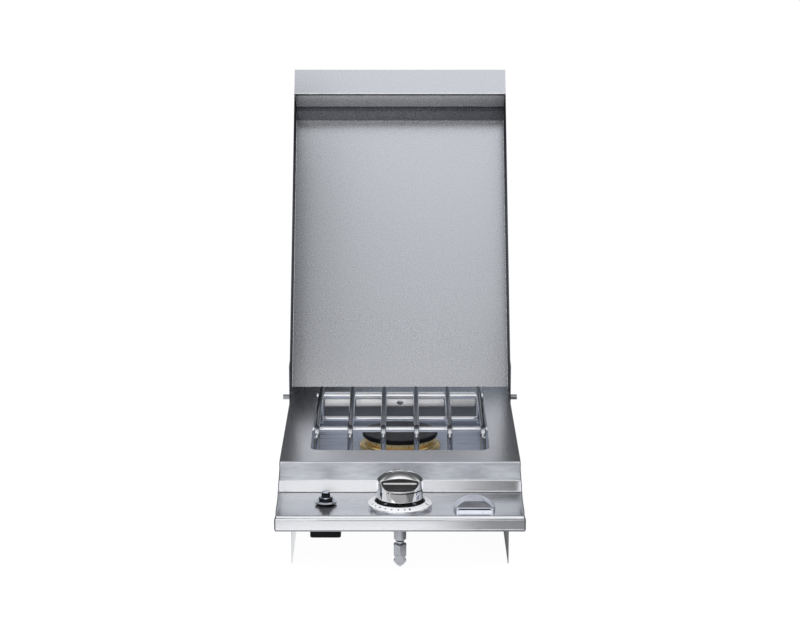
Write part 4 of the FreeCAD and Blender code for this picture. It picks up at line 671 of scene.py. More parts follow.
def knobWeb(look, share, line):
    # The outside of one half: rings in (angle, share of the profile), from the recess's lip to the half's border
    low, side, above = look["below"], look["beside"], look["above"]
    quarter = math.pi / 2
    border = np.vstack([
        np.linspace((-quarter, 0), (quarter, 0), low, endpoint=False),
        np.linspace((quarter, 0), (quarter, 1), side, endpoint=False),
        np.linspace((quarter, 1), (-quarter, 1), above, endpoint=False),
        np.linspace((-quarter, 1), (-quarter, 0), side, endpoint=False),
    ])

    def onSurface(spots):
        # (x, z) to (angle, share): share from the height, angle = asin(x / r)
        t = np.interp(spots[:, 1], line[:, 1], share)
        return np.column_stack([np.arcsin(np.clip(spots[:, 0] / np.interp(t, share, line[:, 0]), -1, 1)), t])

    mouth = recessOutline(look)
    start = onSurface(grown(mouth, look["lip"]))
    steps = np.linspace(0, 1, look["rings"])[:, None, None] ** look["spacing"]
    return mouth, onSurface(mouth), start + (border - start) * steps


def knobHalf(look, share, line, facing):
    # From the middle of the recess over its wall and lip to the border; the lip turns on a quarter circle
    cx, cy = look["centre"]
    mouth, mouthSpots, web = knobWeb(look, share, line)

    def inSpace(spots):
        # (angle, share) to (r sin a, r cos a, z)
        angle, t = spots[..., 0], spots[..., 1]
        r = np.interp(t, share, line[:, 0])
        return np.stack([cx + r * np.sin(angle), cy + facing * r * np.cos(angle), np.interp(t, share, line[:, 1])], -1)

    outer = inSpace(web)
    wallTop = inSpace(mouthSpots)[:, 1] - facing * look["lip"]
    face = cy + facing * look["bar"]
    upright = mouth + (cx, 0)
    lip = grown(mouth, look["lip"]) + (cx, 0)
    middle = np.array([cx, (look["floor"] + look["arch"]) / 2])
    rings = [uprightRing(upright, middle, k, face) for k in (0.0, 0.35, 0.7, 0.9, 1.0)]
    rings += [uprightRing(upright, middle, 1.0, face + (wallTop - face) * k) for k in (0.3, 0.7, 1.0)]
    for turn in np.array([1, 2, 3]) * math.pi / 8:
        spots = upright + (lip - upright) * (1 - math.cos(turn))
        rings.append(uprightRing(spots, middle, 1.0, wallTop + (outer[0][:, 1] - wallTop) * math.sin(turn)))
    return np.stack(rings + list(outer))


def setKnobNormals(data, look, share, line):
    # On the turned surface the normals are those of the profile itself
    spots = np.empty(len(data.vertices) * 3)
    data.vertices.foreach_get("co", spots)
    spots = spots.reshape(-1, 3) / mm - (*look["centre"], 0)
    reach = np.hypot(spots[:, 0], spots[:, 1])
    t = np.interp(spots[:, 2], line[:, 1], share)
    slope = np.gradient(line, share, axis=0)
    slope /= np.linalg.norm(slope, axis=1, keepdims=True)
    outward, upward = np.interp(t, share, slope[:, 1]), -np.interp(t, share, slope[:, 0])
    turned = (np.abs(reach - np.interp(t, share, line[:, 0])) < 2e-3) & (spots[:, 2] > look["bottom"] + 1.5)
    unit = spots[:, :2] / np.maximum(reach, 1e-6)[:, None]
    normals = np.column_stack([unit[:, 0] * outward, unit[:, 1] * outward, upward]) * turned[:, None]
    data.normals_split_custom_set_from_vertices(normals.tolist())


def makeKnob(look):
    share, line = knobProfile(look)
    cx, cy = look["centre"]
    halves = np.stack([knobHalf(look, share, line, facing) for facing in (-1, 1)])
    faces = gridFaces(*halves.shape[1:3], wrapColumns=True)
    halfCount = halves.shape[1] * halves.shape[2]
    # Underside: the lower edge of both halves, in to the hollow and up to its roof
    around = np.linspace(-math.pi / 2, math.pi / 2, look["below"], endpoint=False)
    around = np.concatenate([around, -around])
    facing = np.repeat([-1.0, 1.0], look["below"])
    ring = np.column_stack([np.sin(around), facing * np.cos(around)])
    bottom, roof = look["bottom"], look["bottom"] + look["roof"]
    levels = [(look["radius"] - look["bevel"], bottom), (look["hollow"], bottom), (look["hollow"], roof), (0.0, roof)]
    under = np.stack([np.column_stack([ring * r + (cx, cy), np.full(len(ring), z)]) for r, z in levels])
    underFaces = gridFaces(len(levels), len(ring), wrapColumns=True)
    points = np.vstack([halves.reshape(-1, 3), under.reshape(-1, 3)])
    faces = np.vstack([faces, faces + halfCount, underFaces + 2 * halfCount])
    piece = meshPiece("knobBody", points, faces, "brightChrome", "knob", ["knob"], crease=50)
    setKnobNormals(piece.data, look, share, line)


makeKnob(knobLook)

gripLook = {
    "inset": 0.15, "out": 1.2, "back": -0.2, "middle": (0.0, 58.5), "rows": 61, "around": 20,
    "ribZ": 56.8, "ribHeight": 2.8, "ribHalf": 23.35, "ribOut": 0.6,
}


def makeGrip(look, side, name, node):
    # Rings of the recess's own outline, from a pole on the back over the edge to a pole on the front
    outline = recessOutline(knobLook, look["inset"])
    back, edge, face = look["back"], look["out"], knobLook["centre"][1] + side * knobLook["bar"]
    rings = [(0.0, back), (1.0, back), (1.0, edge * 0.6), (0.985, edge * 0.88), (0.965, edge)]
    rings += [(k, edge) for k in (0.9, 0.75, 0.55, 0.3, 0.0)]
    middle = np.array(look["middle"])
    grid = np.stack([uprightRing(outline, middle, k, face + side * out) for k, out in rings])
    gridPiece(name, grid, "gripRubber", "knob", "grip_rubber", [node])
    # A bright rib across the pad: half an ellipse in section, with round ends
    angle = fullTurn(look["around"])
    xs = look["ribHalf"] * np.sin(np.linspace(-math.pi / 2, math.pi / 2, look["rows"]))
    taper = np.sqrt(np.maximum(1 - (xs / look["ribHalf"]) ** 16, 0))[:, None]
    y = face + side * (edge + look["ribOut"] * taper * np.cos(angle))
    z = look["ribZ"] + look["ribHeight"] / 2 * taper * np.sin(angle)
    grid = np.stack([np.broadcast_to(xs[:, None], y.shape), y, z], -1)
    gridPiece(name + "Rib", grid, "ribMetal", "knob", "chrome")


makeGrip(gripLook, -1, "gripPadFront", "grip_pad_front")
makeGrip(gripLook, 1, "gripPadRear", "grip_pad_rear")

bezelLook = {
    "inner": 34.5, "seat": 40.0, "radius": 44.8, "panel": 20.0, "skirt": 23.5, "edge": 25.0, "crown": 29.0,
    "sealTop": 27.0, "stem": 5.6, "faceSides": (1.3, 1.6, 1.0, 0.7), "faceLift": 0.16,
}
# Pointer line and dots on the knob, dots round the bezel with a larger one at the low setting and a tick at its right
markLook = {
    "lineZ": 46.8, "lineHeight": (1.0, 1.9), "lineSpan": (-12.0, 29.0), "dotX": -16.2, "dotSize": (0.9, 1.3),
    "topDot": (0.0, -207.0, 70.65), "topDotUp": (0, 0.97, -0.24), "topDotSize": (1.2, 1.2),
    "bezelAngles": [-70.0, -57.0, -43.5, -30.0, -16.5, -3.2, 9.5], "bezelDot": (1.0, 1.25),
    "bezelRadius": 40.2, "bezelLift": 0.14, "bezelOthers": [(19.5, 1.2, 2.0), (68.0, 0.9, 3.6)],
}


def makePatch(name, origin, across, up, size, finish, body, lift=0.12, sides=20):
    # A small flat disc: origin + across cos a + up sin a, raised a little in the middle
    angle = fullTurn(sides)[:, None]
    across, up = np.array(across, float), np.array(up, float)
    out = np.cross(across, up)
    out /= np.linalg.norm(out)
    rim = np.cos(angle) * across * size[0] + np.sin(angle) * up * size[1]
    rows = ((-0.3, 0), (-0.3, 1), (lift * 0.7, 1), (lift, 0.8), (lift, 0))
    grid = np.stack([origin + out * height + rim * share for height, share in rows])
    gridPiece(name, grid, finish, body, "black_plastic")


def bezelSlope(look):
    return (look["crown"] - look["edge"]) / (look["radius"] - look["inner"] - 1)


def makeMarks(look):
    # Line on the knob's wall: an arc of the wall's circle, a hair proud of it, wider to the right
    cy, wall = knobLook["centre"][1], knobLook["radius"]
    xs = np.linspace(*look["lineSpan"], 60)
    section = np.array([[-0.3, -1], [0.1, -1], [0.12, 0], [0.1, 1], [-0.3, 1]])
    radius, angle = wall + section[:, 0], np.arcsin(xs / (wall + 0.05))[:, None]
    tall = np.interp(xs, look["lineSpan"], look["lineHeight"])[:, None]
    z = look["lineZ"] + section[:, 1] * tall / 2
    grid = np.stack([radius * np.sin(angle), cy - radius * np.cos(angle), z], -1)
    gridPiece("knobLine", capped(grid), "inkBlack", "knob", "black_plastic")
    side = math.asin(look["dotX"] / wall)
    spot = np.array([wall * math.sin(side), cy - wall * math.cos(side), look["lineZ"]])
    makePatch("knobDot", spot, (math.cos(side), math.sin(side), 0), (0, 0, 1), look["dotSize"], "inkBlack", "knob")
    makePatch("knobTopDot", np.array(look["topDot"]), (1, 0, 0), look["topDotUp"], look["topDotSize"], "redEnamel",
              "knob", lift=0.3)
    slope = bezelSlope(bezelLook)
    reach, fromInner = look["bezelRadius"], look["bezelRadius"] - bezelLook["inner"] - 1
    middle = np.array([0, cy, bezelLook["crown"] + look["bezelLift"] - slope * fromInner])
    marks = [(degrees, *look["bezelDot"]) for degrees in look["bezelAngles"]] + look["bezelOthers"]
    for i, (degrees, *size) in enumerate(marks, start=1):
        turn = math.radians(degrees)
        outward = np.array([math.sin(turn), -math.cos(turn), 0.0])
        up = np.array([0, 0, slope]) - outward
        makePatch(f"bezelMark{i}", middle + outward * reach, (math.cos(turn), math.sin(turn), 0),
                  up / np.linalg.norm(up), size, "inkBlack", "frame")


def makeBezel(look):
    inner, radius, crown, panel = look["inner"], look["radius"], look["crown"], look["panel"]
    outline = roundOutline([
        (inner, panel), (look["seat"], panel), (radius, look["skirt"], 0.8), (radius, look["edge"], 0.7),
        (inner + 1, crown, 0.6), (inner, crown - 1),
    ], closed=True)
    centre = knobLook["centre"]
    turnedPiece("bezelRing", outline, centre, "brightChrome", "frame", "chrome", ["bezel"], 192, True, 24)
    # The white face lies on the ring's slope
    first, second, third, fourth = look["faceSides"]
    rs = np.array([inner + first, inner + second, radius - third, radius - fourth])
    lift = np.array([0.02, look["faceLift"], look["faceLift"], 0.02])
    under = crown - bezelSlope(look) * (rs - inner - 1)
    face = np.vstack([np.column_stack([rs, under + lift]), np.column_stack([rs, under - 0.2])[::-1]])
    turnedPiece("bezelFace", face, centre, "satinWhiteMetal", "frame", "chrome", (), 192, True, 50)
    # A black seal fills the ring and rises a little towards it; its black also stands in for the shade in the gap under
    # the knob, painted shade
    stem, top = look["stem"], look["sealTop"]
    seal = roundOutline([
        (stem, panel), (inner, panel), (inner, top, 0.6), (inner - 2, top, 1.0), (inner - 5, panel + 3, 1.5),
        (stem, panel + 2.5),
    ], closed=True)
    turnedPiece("stemSealShade", seal, centre, "blackPlastic", "frame", "black_plastic", (), 96, True)


makeMarks(markLook)
makeBezel(bezelLook)
print("stage: knob made")

# Igniter
igniterLook = {
    "centre": (-103.0, -209.0), "panel": 20.0, "flange": 15.6, "barrel": 7.5, "button": 6.0, "buttonTop": 38.6,
    "buttonLow": 24.0,
}
igniterNut = {
    "across": 19.0, "corner": 10.7, "shoulder": 0.6, "slope": 0.5, "bottom": 25.0, "height": 6.0, "bore": 7.5,
    "bevel": 0.4,
}


def makeIgniter(look):
    panel, wide, barrel, centre = look["panel"], look["flange"], look["barrel"], look["centre"]
    flange = roundOutline([
        (barrel, panel), (wide - 3.5, panel), (wide, panel + 2.8, 1.0), (wide - 0.3, panel + 4.4, 0.7),
        (wide - 3.2, panel + 3.4, 1.2), (barrel + 4, panel + 5, 1.0), (barrel, panel + 5),
    ], closed=True)
    wear = ("darkChrome", "frame", "dark_chrome")
    turnedPiece("igniterFlange", flange, centre, *wear, ["igniter_flange"], closed=True)
    hexPiece("igniterNut", igniterNut, centre, *wear, ["igniter_nut"])
    low, top, radius = look["buttonLow"], look["buttonTop"], look["button"]
    button = roundOutline([
        (0, low), (radius, low), (radius, top - 1.2, 1.1), (radius - 1.6, top - 0.1, 0.6),
        (radius - 2.4, top - 0.6, 0.5), (0, top),
    ])
    turnedPiece("igniterButton", button, centre, "darkChrome", "button", "dark_chrome", ["igniter_button"], 96)


makeIgniter(igniterLook)
print("stage: igniter made")

# Gas inlet, swivel nut and nipple
inletLook = {
    "centre": (0.0, -218.0), "radius": 8.8, "neck": 5.6, "top": -13.0, "shoulder": -30.6, "bottom": -37.5,
    "nippleTop": -49.5, "slot": (-52.5, -57.5), "slotDepth": 1.4, "slotReach": 7.0,
    "bodyLow": -60.5, "taper": (2.2, -62.1), "stem": (2.4, -63.5), "tip": (1.2, -68.0),
}
swivelNut = {
    "across": 17.6, "corner": 10.1, "shoulder": 1.9, "slope": 0.62, "bottom": -49.5, "height": 16.0, "bore": 5.7,
    "bevel": 0.4,
}


def makeInlet(look):
    radius, neck, bottom, centre = look["radius"], look["neck"], look["bottom"], look["centre"]
    wear = ("satinChrome", "frame", "chrome")
    inlet = roundOutline([
        (0, look["top"]), (radius, look["top"]), (radius, look["shoulder"] + 3, 2.5), (neck, look["shoulder"], 0.5),
        (neck, bottom), (0, bottom),
    ])
    turnedPiece("gasInlet", inlet, centre, *wear, ["gas_inlet"])
    hexPiece("swivelNut", swivelNut, centre, *wear, ["swivel_nut"])
    # Nipple: the radius is cut back to a flat inside each side slot
    top, (slotTop, slotLow) = look["nippleTop"], look["slot"]
    outline = roundOutline([
        (0, bottom), (neck, bottom), (neck, top), (radius, top), (radius, slotTop + 0.1), (radius, slotTop - 0.1),
        (radius, slotLow + 0.1), (radius, slotLow - 0.1), (radius, look["bodyLow"], 0.5),
        (radius - look["taper"][0], look["taper"][1]), (radius - look["stem"][0], look["stem"][1], 0.8),
        (*look["tip"], 0.8), (0, look["tip"][1] - 0.1),
    ])
    angle = fullTurn(144)[:, None]
    r, z = outline.T
    inSlot = (z < slotTop) & (z > slotLow) & (r > look["slotReach"])
    flat = np.minimum(r, (radius - look["slotDepth"]) / np.maximum(np.abs(np.cos(angle)), 1e-3))
    grid = turnedGrid(centre, angle, np.where(inSlot, flat, r), z)
    gridPiece("gasNipple", grid, *wear, ["gas_nipple"], crease=30, wrapRows=True, wrapColumns=False)


makeInlet(inletLook)
print("stage: gas inlet made")

# Badge plate, bare: a disc with a straight front, its face sloped up to the back and arched down to both ends
badgeLook = {
    "centre": (102.6, -231.5), "radius": 29.0, "chord": 15.5, "panel": 20.0, "front": 26.5, "middle": 30.4,
    "back": 32.0, "ends": (30.0, 23.4), "archTop": 32.6, "groove": 23.25, "grooveHeight": 1.6, "grooveDepth": 1.6,
    "round": 1.1, "around": 360, "stripHalf": 24.2,
}


def makeBadge(look):
    # rho(a) = radius, or the distance to the straight front where that is nearer
    angle = fullTurn(look["around"])
    chord, radius, corner = look["chord"], look["radius"], look["round"]
    down = np.maximum(-np.sin(angle), 1e-6)
    rho = np.minimum(radius, chord / down)
    slope = roundOutline([
        (-chord, look["front"]), (2 - chord, look["front"]), (0, look["middle"], 29), (radius, look["back"]),
    ], steps=24)
    half, low = look["ends"]
    ball = archRadius(half, look["archTop"] - low)

    def faceHeight(r):
        # The lower of the slope over y and of the arch over x, with a soft change between them
        arch = look["archTop"] - ball + np.sqrt(ball ** 2 - (r * np.cos(angle)) ** 2)
        gap = np.interp(r * np.sin(angle), slope[:, 0], slope[:, 1]) - arch
        return arch + 0.5 * (gap - np.sqrt(gap ** 2 + 0.25))

    rows = [(share * (rho - corner), 0.0) for share in np.linspace(0, 1, 30)]
    for turn in np.linspace(0.2, 1, 6) * math.pi / 2:
        rows.append((rho - corner + corner * math.sin(turn), corner * (1 - math.cos(turn))))
    rows = [(r, faceHeight(r) - drop) for r, drop in rows]
    edge, groove = rows[-1][1], look["groove"]
    grooveLow = np.minimum(groove, edge - 1.2)
    grooveHigh = np.minimum(groove + look["grooveHeight"], edge - 0.3)
    cut = look["grooveDepth"] * rampUp(down * radius, chord + 1.0, 1.0)
    for inset, z in (
        (0, grooveHigh + 0.1), (cut, grooveHigh), (cut, grooveLow), (0, grooveLow - 0.1), (0, look["panel"]),
        (30, look["panel"]),
    ):
        rows.append((np.maximum(rho - inset, 0), np.broadcast_to(z, rho.shape)))
    grid = turnedGrid(look["centre"], angle, np.stack([r for r, _ in rows]), np.stack([z for _, z in rows]))
    gridPiece("badgePlate", grid, "badgeMetal", "frame", "chrome", ["badge_plate"], crease=40)
    # A black strip lies in the groove
    section = np.array([[1.5, -0.75], [0.5, -0.75], [0.5, 0.75], [1.5, 0.75]])
    section += (look["centre"][1] - chord - 0.2, groove + look["grooveHeight"] / 2)
    xs = look["centre"][0] + np.linspace(-look["stripHalf"], look["stripHalf"], 25)
    gridPiece("badgeStrip", alongX(xs, section), "inkBlack", "frame", "black_plastic")


makeBadge(badgeLook)
print("stage: badge made")

# Sloping strip along the back of the well, with the bowl's screw in an oblong hole
trimLook = {"half": 122.0, "top": (233.8, 51.0), "bottom": (230.9, 39.6), "gauge": 0.8, "slot": (5.2, 2.3)}
screwLook = {
    "radius": 2.6, "height": 1.2, "slotHalf": 0.5, "slotDepth": 0.8, "z": 45.4, "around": 72, "rearY": 231.6,
    "frontY": -85.9,
}


def makeTrim(look):
    # A strip along X; its section is a thin parallelogram leaning back, with a small return at the top
    (y1, z1), (y0, z0) = look["top"], look["bottom"]
    section = roundOutline([
        (y0, z0, 0.3), (y1 - 0.3, z1, 0.3), (y1 + 0.1, z1 + 0.1), (y1 + 0.1, z1 - look["gauge"]),
        (y0 + look["gauge"], z0, 0.3),
    ], closed=True)
    xs = np.linspace(-look["half"], look["half"], 40)
    gridPiece("wellTrim", alongX(xs, section), "trimSteel", "frame", "brushed_steel", crease=30)


def makeScrewHead(look, name, y, facing):
    # height(r) = a low dome, cut by a slot across the head; then its seat and a pole
    r = np.linspace(0, 1, 17)[:, None] ** 0.8
    angle = fullTurn(look["around"])
    across = look["radius"] * r * np.cos(angle)
    upright = look["radius"] * r * np.sin(angle)
    dome = look["height"] * np.sqrt(np.maximum(1 - 0.85 * r ** 2.4, 0))
    dome = dome - look["slotDepth"] * (1 - rampUp(np.abs(upright), look["slotHalf"], 0.3))
    face = np.stack([across, y + facing * dome, look["z"] + upright], -1)
    seat, hub = face[-1:].copy(), face[:1].copy()
    seat[..., 1] = hub[..., 1] = y
    gridPiece(name, np.concatenate([face, seat, hub]), "pinSteel", "frame", "screw_steel")


def makeScrewHoleShade(look, z):
    # Painted shade: the oblong hole is a black patch on the strip's slope, standing in for the dark inside of the hole
    (y1, z1), (y0, z0) = look["top"], look["bottom"]
    up = np.array([0, y1 - 0.3 - y0, z1 - z0])
    origin = np.array([0, y0, z0]) + up * (z - z0) / (z1 - z0)
    makePatch("bowlScrewHoleShade", origin, (1, 0, 0), up / np.linalg.norm(up), look["slot"], "inkBlack", "frame", 0.1, 40)


makeTrim(trimLook)
makeScrewHead(screwLook, "bowlScrewRear", screwLook["rearY"], -1)
makeScrewHead(screwLook, "bowlScrewFront", screwLook["frontY"], 1)
makeScrewHoleShade(trimLook, screwLook["z"])
print("stage: screws made")

# Thin strips along the folds: painted highlights on the folds' roundness, and painted shade lines under folds, at the
# lip's ends and at the step's foot.
# Each has its section in (y, z), its two ends and its finish
lipEndShadeSection = [(-266.2, 1.1), (-267.1, 1.1), (-267.1, 16.4), (-266.2, 17.4)]
foldLooks = {
    "stepHighlight": ([(-153.9, 20.05), (-154.3, 20.3), (-153.75, 21.9), (-153.2, 21.7)], (-169.3, 169.3), "edgeHighlight"),
    "stepFootShade": ([(-153.9, 19.9), (-157.8, 19.9), (-157.8, 20.12), (-153.9, 20.12)], (-169.3, 169.3), "gapShade"),
    "lipHighlight": ([(-266.5, 1.1), (-267.12, 1.1), (-267.12, 2.6), (-266.5, 2.8)], (-169.8, 169.8), "edgeHighlight"),
    "lipShade": ([(-266.2, -1.0), (-267.0, -1.0), (-267.15, -0.3), (-267.15, 1.1), (-266.2, 1.1)],
                 (-171.3, 171.3), "edgeShade"),
    "lipEndShadeLeft": (lipEndShadeSection, (-172.1, -170.4), "gapShade"),
    "lipEndShadeRight": (lipEndShadeSection, (170.4, 172.1), "gapShade"),
}
# The same along the lid's handle flange, in (out along the skirt, up square to it) from the corner under the skirt
lidFold = {
    "corner": (557.1, 462.2), "lean": math.radians(33.5), "half": 171.6,
    "lidFoldHighlight": ([(60.1, -1.1), (61.25, -0.9), (61.3, 0.7), (60.1, 0.7)], "edgeHighlight"),
    "lidFoldShade": ([(53.0, 0.5), (53.0, -0.3), (60.5, -0.3), (60.5, 0.5)], "gapShade"),
}


def makeFoldHighlightsAndShades(look):
    for name, (section, ends, finish) in foldLooks.items():
        gridPiece(name, alongX(ends, section), finish, "frame", "brushed_steel", crease=30)
    sine, cosine = math.sin(look["lean"]), math.cos(look["lean"])
    directions = np.array([[-cosine, sine], [sine, cosine]])
    for name in ("lidFoldHighlight", "lidFoldShade"):
        places, finish = look[name]
        section = look["corner"] + np.array(places) @ directions
        gridPiece(name, alongX((-look["half"], look["half"]), section), finish, "lid", "lid_steel", crease=30)


makeFoldHighlightsAndShades(lidFold)
print("stage: fold strips made")


# Stage, lights and camera; places in metres
def rectangle(*spans):
    # Corners in turn: two of the three spans are pairs, the third is the place along that axis
    corners = np.empty((4, 3))
    order = iter(((0, 1, 1, 0), (0, 0, 1, 1)))
    for axis, span in enumerate(spans):
        corners[:, axis] = np.take(span, next(order)) if isinstance(span, tuple) else span
    return corners


def stageMesh(name, corners, finish):
    data = bpy.data.meshes.new(name)
    data.from_pydata([tuple(c) for c in corners], [], [(0, 1, 2, 3)])
    data.materials.append(finish)
    piece = bpy.data.objects.new(name, data)
    bpy.context.scene.collection.objects.link(piece)
    return piece


def mixShaders(tree, share, first, second):
    return addNode(tree, "ShaderNodeMixShader", {0: share, 1: first, 2: second}).outputs[0]


def setSurface(tree, surface):
    wire(tree, tree.nodes["Material Output"], {"Surface": surface})


floorLook = {
    "z": -0.0735, "reach": 14.0, "colour": (0.9, 0.9, 0.9), "glow": 1.05, "shadowShare": 0.08, "mirrored": 1.4,
    "dim": 0.21, "dimSpan": (0.035, 0.13), "far": 0.36, "farSpan": (-0.57, -0.52), "wideSpan": (0.175, 0.24),
}


def makeFloor(look):
    # White for the camera apart from the shadow; what metal sees of it fades towards the right, ahead and to both sides
    finish, tree = newFinish("paleFloor")
    dressShader(tree, {"Base Color": look["colour"], "Roughness": 0.9, "Specular IOR Level": 0.0})
    light = addNode(tree, "ShaderNodeLightPath").outputs
    across = coordinate(tree, "Object", "X")
    mirrored = look["mirrored"]
    right = spread(tree, across, mirrored, mirrored * look["dim"], *look["dimSpan"], smooth=True)
    ahead = spread(tree, coordinate(tree, "Object", "Y"), look["far"], 1.0, *look["farSpan"], smooth=True)
    wide = spread(tree, absolute(tree, across), 1.0, look["far"], *look["wideSpan"], smooth=True)
    strength = product(tree, product(tree, right, ahead), wide)
    metal = addNode(tree, "ShaderNodeEmission", {"Strength": strength}).outputs[0]
    white = addNode(tree, "ShaderNodeEmission", {"Strength": look["glow"]}).outputs[0]
    seen = calc(tree, "ADD", light["Is Camera Ray"], light["Is Transmission Ray"])
    seen = product(tree, calc(tree, "MINIMUM", seen, 1.0), 1.0 - look["shadowShare"])
    byCamera = mixShaders(tree, seen, tree.nodes["Principled BSDF"].outputs[0], white)
    setSurface(tree, mixShaders(tree, product(tree, light["Is Glossy Ray"], 0.9), byCamera, metal))
    reach = (-look["reach"], look["reach"])
    stageMesh("floor", rectangle(reach, reach, look["z"]), finish)


# Cards that only reflections see: in the first one ("first"), or in a reflection of a reflection ("later").
# A glow of two values goes from one to the other between two places along the fade's axis
cardLooks = {
    "frontCard": {
        "span": ((-0.28, 0.34), -0.7, (0.10, 0.31)), "glow": (1.04, 0.05), "fade": ("X", 0.06, 0.155), "in": "first",
    },
    "apronCard": {"span": ((-0.5, 0.5), -0.72, (0.10, 0.31)), "glow": 1.95, "in": "later"},
    "topCard": {
        "span": ((-1.1, 1.1), (-0.42, 0.05), 0.4), "glow": (1.15, 0.22), "fade": ("Y", -0.12, 0.01), "in": "first",
    },
    "stepCard": {
        "span": ((-0.6, 0.6), (-0.6, -0.22), 0.35), "glow": (0.86, 0.02), "fade": ("X", 0.04, 0.17), "in": "later",
    },
    "deckCard": {
        "span": ((-0.7, 0.7), (0.0, 0.6), 0.8), "glow": (1.95, 1.45), "fade": ("X", -0.15, 0.08), "in": "later",
    },
    "barShade": {"span": ((-0.14, 0.14), (0.215, 0.335), 0.6), "glow": 0.08, "in": "later"},
    "barFlank": {
        "span": ((-0.24, 0.4), (-0.1, 0.215), 0.6), "glow": (2.0, 0.75), "fade": ("X", 0.05, 0.14), "in": "later",
    },
    "barDusk": {"span": ((-0.7, -0.24), (-0.1, 0.16), 0.6), "glow": 0.1, "in": "later"},
    "frontShade": {"span": ((-0.2, 0.2), (0.352, 0.43), 0.6), "glow": 0.3, "in": "later"},
    "lowCard": {
        "span": ((-1.2, 1.2), -1.5, (0.02, 1.1)), "glow": (1.5, 0.8), "fade": ("X", -0.1, 0.5), "in": "first",
    },
    "backLeft": {
        "span": ((-1.1, -0.2), (0.05, 0.2), 0.4), "glow": (1.2, 0.15), "fade": ("X", -0.5, -0.2), "in": "first",
    },
    "backRight": {
        "span": ((0.2, 1.1), (0.05, 0.2), 0.4), "glow": (0.15, 1.1), "fade": ("X", 0.2, 0.5), "in": "first",
    },
    "wallCard": {"span": ((-0.115, 0.06), -0.33, (0.001, 0.024)), "glow": 0.4, "in": "first"},
}
# Parallel to the open lid, this far in front of its foot: what its left side reflects
sideCard = {
    "foot": (0.246, 0.051), "lean": math.radians(33.5), "ahead": 0.8, "across": (-2.2, -0.163), "along": (-0.3, 0.92),
    "glow": 0.16, "in": "first", "colour": (0.92, 0.96, 1.0),
}
# A dark one over the back of the grate, mirrored in the foot of the lid
duskCard = {
    "corners": [(-0.35, 0.13, 0.2), (0.35, 0.225, 0.2), (0.35, 0.285, 0.2), (-0.35, 0.37, 0.2)],
    "glow": (0.01, 0.26), "fade": ("X", -0.13, -0.03), "in": "later", "colour": (0.9, 1.0, 1.15),
}
# Small dark ones over the bars' front bends
dotCards = {"half": 0.007, "y": (-0.064, -0.037), "z": 0.13, "glow": 0.01, "in": "first"}
# Upright at both sides: what the knob's wall sees by way of the panel
flankCards = {"x": 0.7, "y": (-0.8, 0.2), "z": (0.04, 0.6), "glow": 0.95, "in": "later"}


def makeCard(name, corners, look):
    finish, tree = newFinish(name)
    strength = look["glow"]
    if "fade" in look:
        axis, start, end = look["fade"]
        strength = spread(tree, coordinate(tree, "Object", axis), *strength, start, end, smooth=True)
    sockets = {"Color": look.get("colour", (1, 1, 1)), "Strength": strength}
    glow = addNode(tree, "ShaderNodeEmission", sockets).outputs[0]
    clear = addNode(tree, "ShaderNodeBsdfTransparent").outputs[0]
    depth = addNode(tree, "ShaderNodeLightPath").outputs["Ray Depth"]
    shown = calc(tree, "LESS_THAN" if look["in"] == "first" else "GREATER_THAN", depth, 1.5)
    setSurface(tree, mixShaders(tree, shown, clear, glow))
    card = stageMesh(name, corners, finish)
    for kind in ("camera", "shadow", "diffuse", "transmission"):
        setattr(card, f"visible_{kind}", False)


def makeCards():
    for name, look in cardLooks.items():
        makeCard(name, rectangle(*look["span"]), look)
    lean, (x0, x1) = sideCard["lean"], sideCard["across"]
    up = np.array([math.sin(lean), math.cos(lean)])
    base = sideCard["foot"] + np.array([-math.cos(lean), math.sin(lean)]) * sideCard["ahead"]
    low, high = (base + up * s for s in sideCard["along"])
    makeCard("sideCard", [(x0, *low), (x1, *low), (x1, *high), (x0, *high)], sideCard)
    makeCard("duskCard", duskCard["corners"], duskCard)
    half = dotCards["half"]
    for i, x in enumerate(grateLook["xs"], start=1):
        span = (x * mm - half, x * mm + half)
        makeCard(f"dotCard{i}", rectangle(span, dotCards["y"], dotCards["z"]), dotCards)
    for name, side in (("flankLeft", -1), ("flankRight", 1)):
        makeCard(name, rectangle(side * flankCards["x"], flankCards["y"], flankCards["z"]), flankCards)


# Brightness over height: 0.5 is the horizon, 0.75 is 30 degrees up, 0.9 is 53 degrees, 1 is overhead
worldLook = {
    "front": [
        (0.0, 0.8), (0.5, 0.75), (0.53, 0.5), (0.58, 0.5), (0.62, 0.6), (0.86, 0.3), (0.885, 0.3), (0.91, 0.62),
        (0.925, 0.84), (0.935, 1.5), (0.955, 1.4), (0.985, 0.8), (1.0, 0.74),
    ],
    "back": [(0.0, 0.8), (0.5, 0.08), (0.6, 0.08), (0.7, 0.12), (0.9, 0.14), (0.93, 0.6), (1.0, 0.74)],
    "tint": (0.97, 0.985, 1.02), "turn": (-0.08, 0.08), "aside": (0.06, 0.063, 0.07), "asideShare": 0.9,
    "asideSpan": (0.4, 0.7), "matt": (0.72, 0.73, 0.75),
}


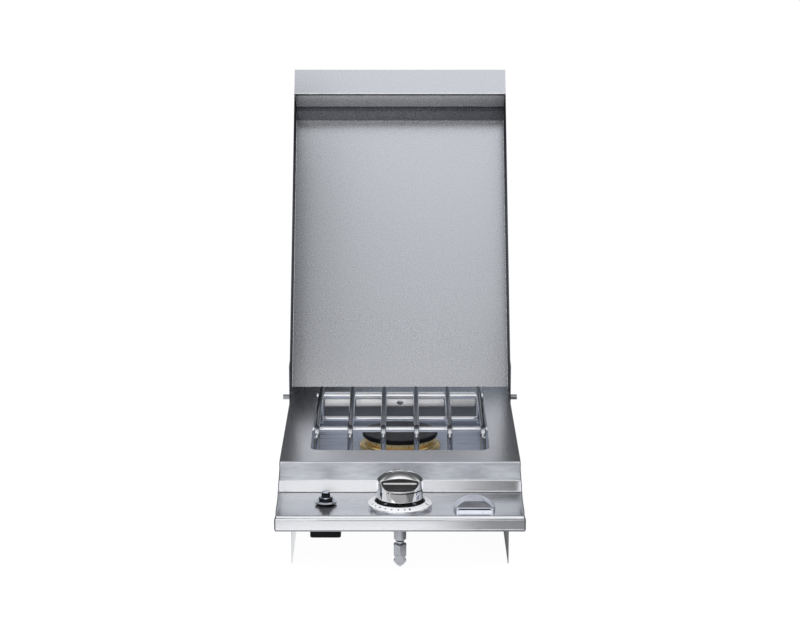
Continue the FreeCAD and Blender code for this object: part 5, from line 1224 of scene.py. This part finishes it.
def makeWorld(look):
    # Reflections see dark sides, a bright band high in front and a dim back; matt surfaces get an even light
    world = bpy.data.worlds.new("studio")
    bpy.context.scene.world = world
    world.use_nodes = True
    tree = world.node_tree
    height = spread(tree, coordinate(tree, "Generated", "Z"), 0.0, 1.0, -1.0, 1.0)

    def heightRamp(stops):
        ramp = addNode(tree, "ShaderNodeValToRGB", {"Fac": height})
        elements = ramp.color_ramp.elements
        while len(elements) < len(stops):
            elements.new(0.5)
        for element, (place, value) in zip(elements, stops):
            element.position = place
            element.color = (*(value * share for share in look["tint"]), 1)
        return ramp.outputs["Color"]

    ahead = rising(tree, coordinate(tree, "Generated", "Y"), *look["turn"])
    room = mixColour(tree, ahead, heightRamp(look["front"]), heightRamp(look["back"]))
    aside = absolute(tree, coordinate(tree, "Generated", "X"))
    aside = spread(tree, aside, 0.0, look["asideShare"], *look["asideSpan"], smooth=True)
    room = mixColour(tree, aside, room, look["aside"])
    light = addNode(tree, "ShaderNodeLightPath").outputs
    room = mixColour(tree, light["Is Diffuse Ray"], room, look["matt"])
    room = mixColour(tree, light["Is Camera Ray"], room, (1.0, 1.0, 1.0))
    wire(tree, tree.nodes["Background"], {"Color": room, "Strength": 1.0})


lampLooks = {
    "keyLamp": {"place": (-1.6, -1.9, 2.6), "size": 1.6, "energy": 26},
    "fillLamp": {"place": (1.9, -1.2, 2.2), "size": 1.8, "energy": 10},
}
lampTarget = (0, 0, 0.1)
cameraLook = {"place": (0.0, -3.34009, 1.02143), "pitch": 76.7622, "lens": 106.09, "sensor": 36.0}


def addItem(name, data, place, pitch, turn):
    item = bpy.data.objects.new(name, data)
    item.location = place
    item.rotation_euler = (pitch, 0, turn)
    bpy.context.scene.collection.objects.link(item)
    return item


def addLamp(name, look):
    lamp = bpy.data.lights.new(name, "AREA")
    lamp.shape = "RECTANGLE"
    lamp.size = lamp.size_y = look["size"]
    lamp.energy = look["energy"]
    x, y, z = np.subtract(lampTarget, look["place"])
    addItem(name, lamp, look["place"], math.atan2(math.hypot(x, y), -z), math.atan2(y, x) - math.pi / 2)


def addCamera(look):
    camera = bpy.data.cameras.new("camera")
    camera.lens = look["lens"]
    camera.sensor_width = look["sensor"]
    bpy.context.scene.camera = addItem("camera", camera, look["place"], math.radians(look["pitch"]), 0)


makeFloor(floorLook)
makeCards()
makeWorld(worldLook)
for lampName, lampLook in lampLooks.items():
    addLamp(lampName, lampLook)
addCamera(cameraLook)
bpy.context.scene.view_settings.view_transform = "Standard"
print("stage: lights and camera set")
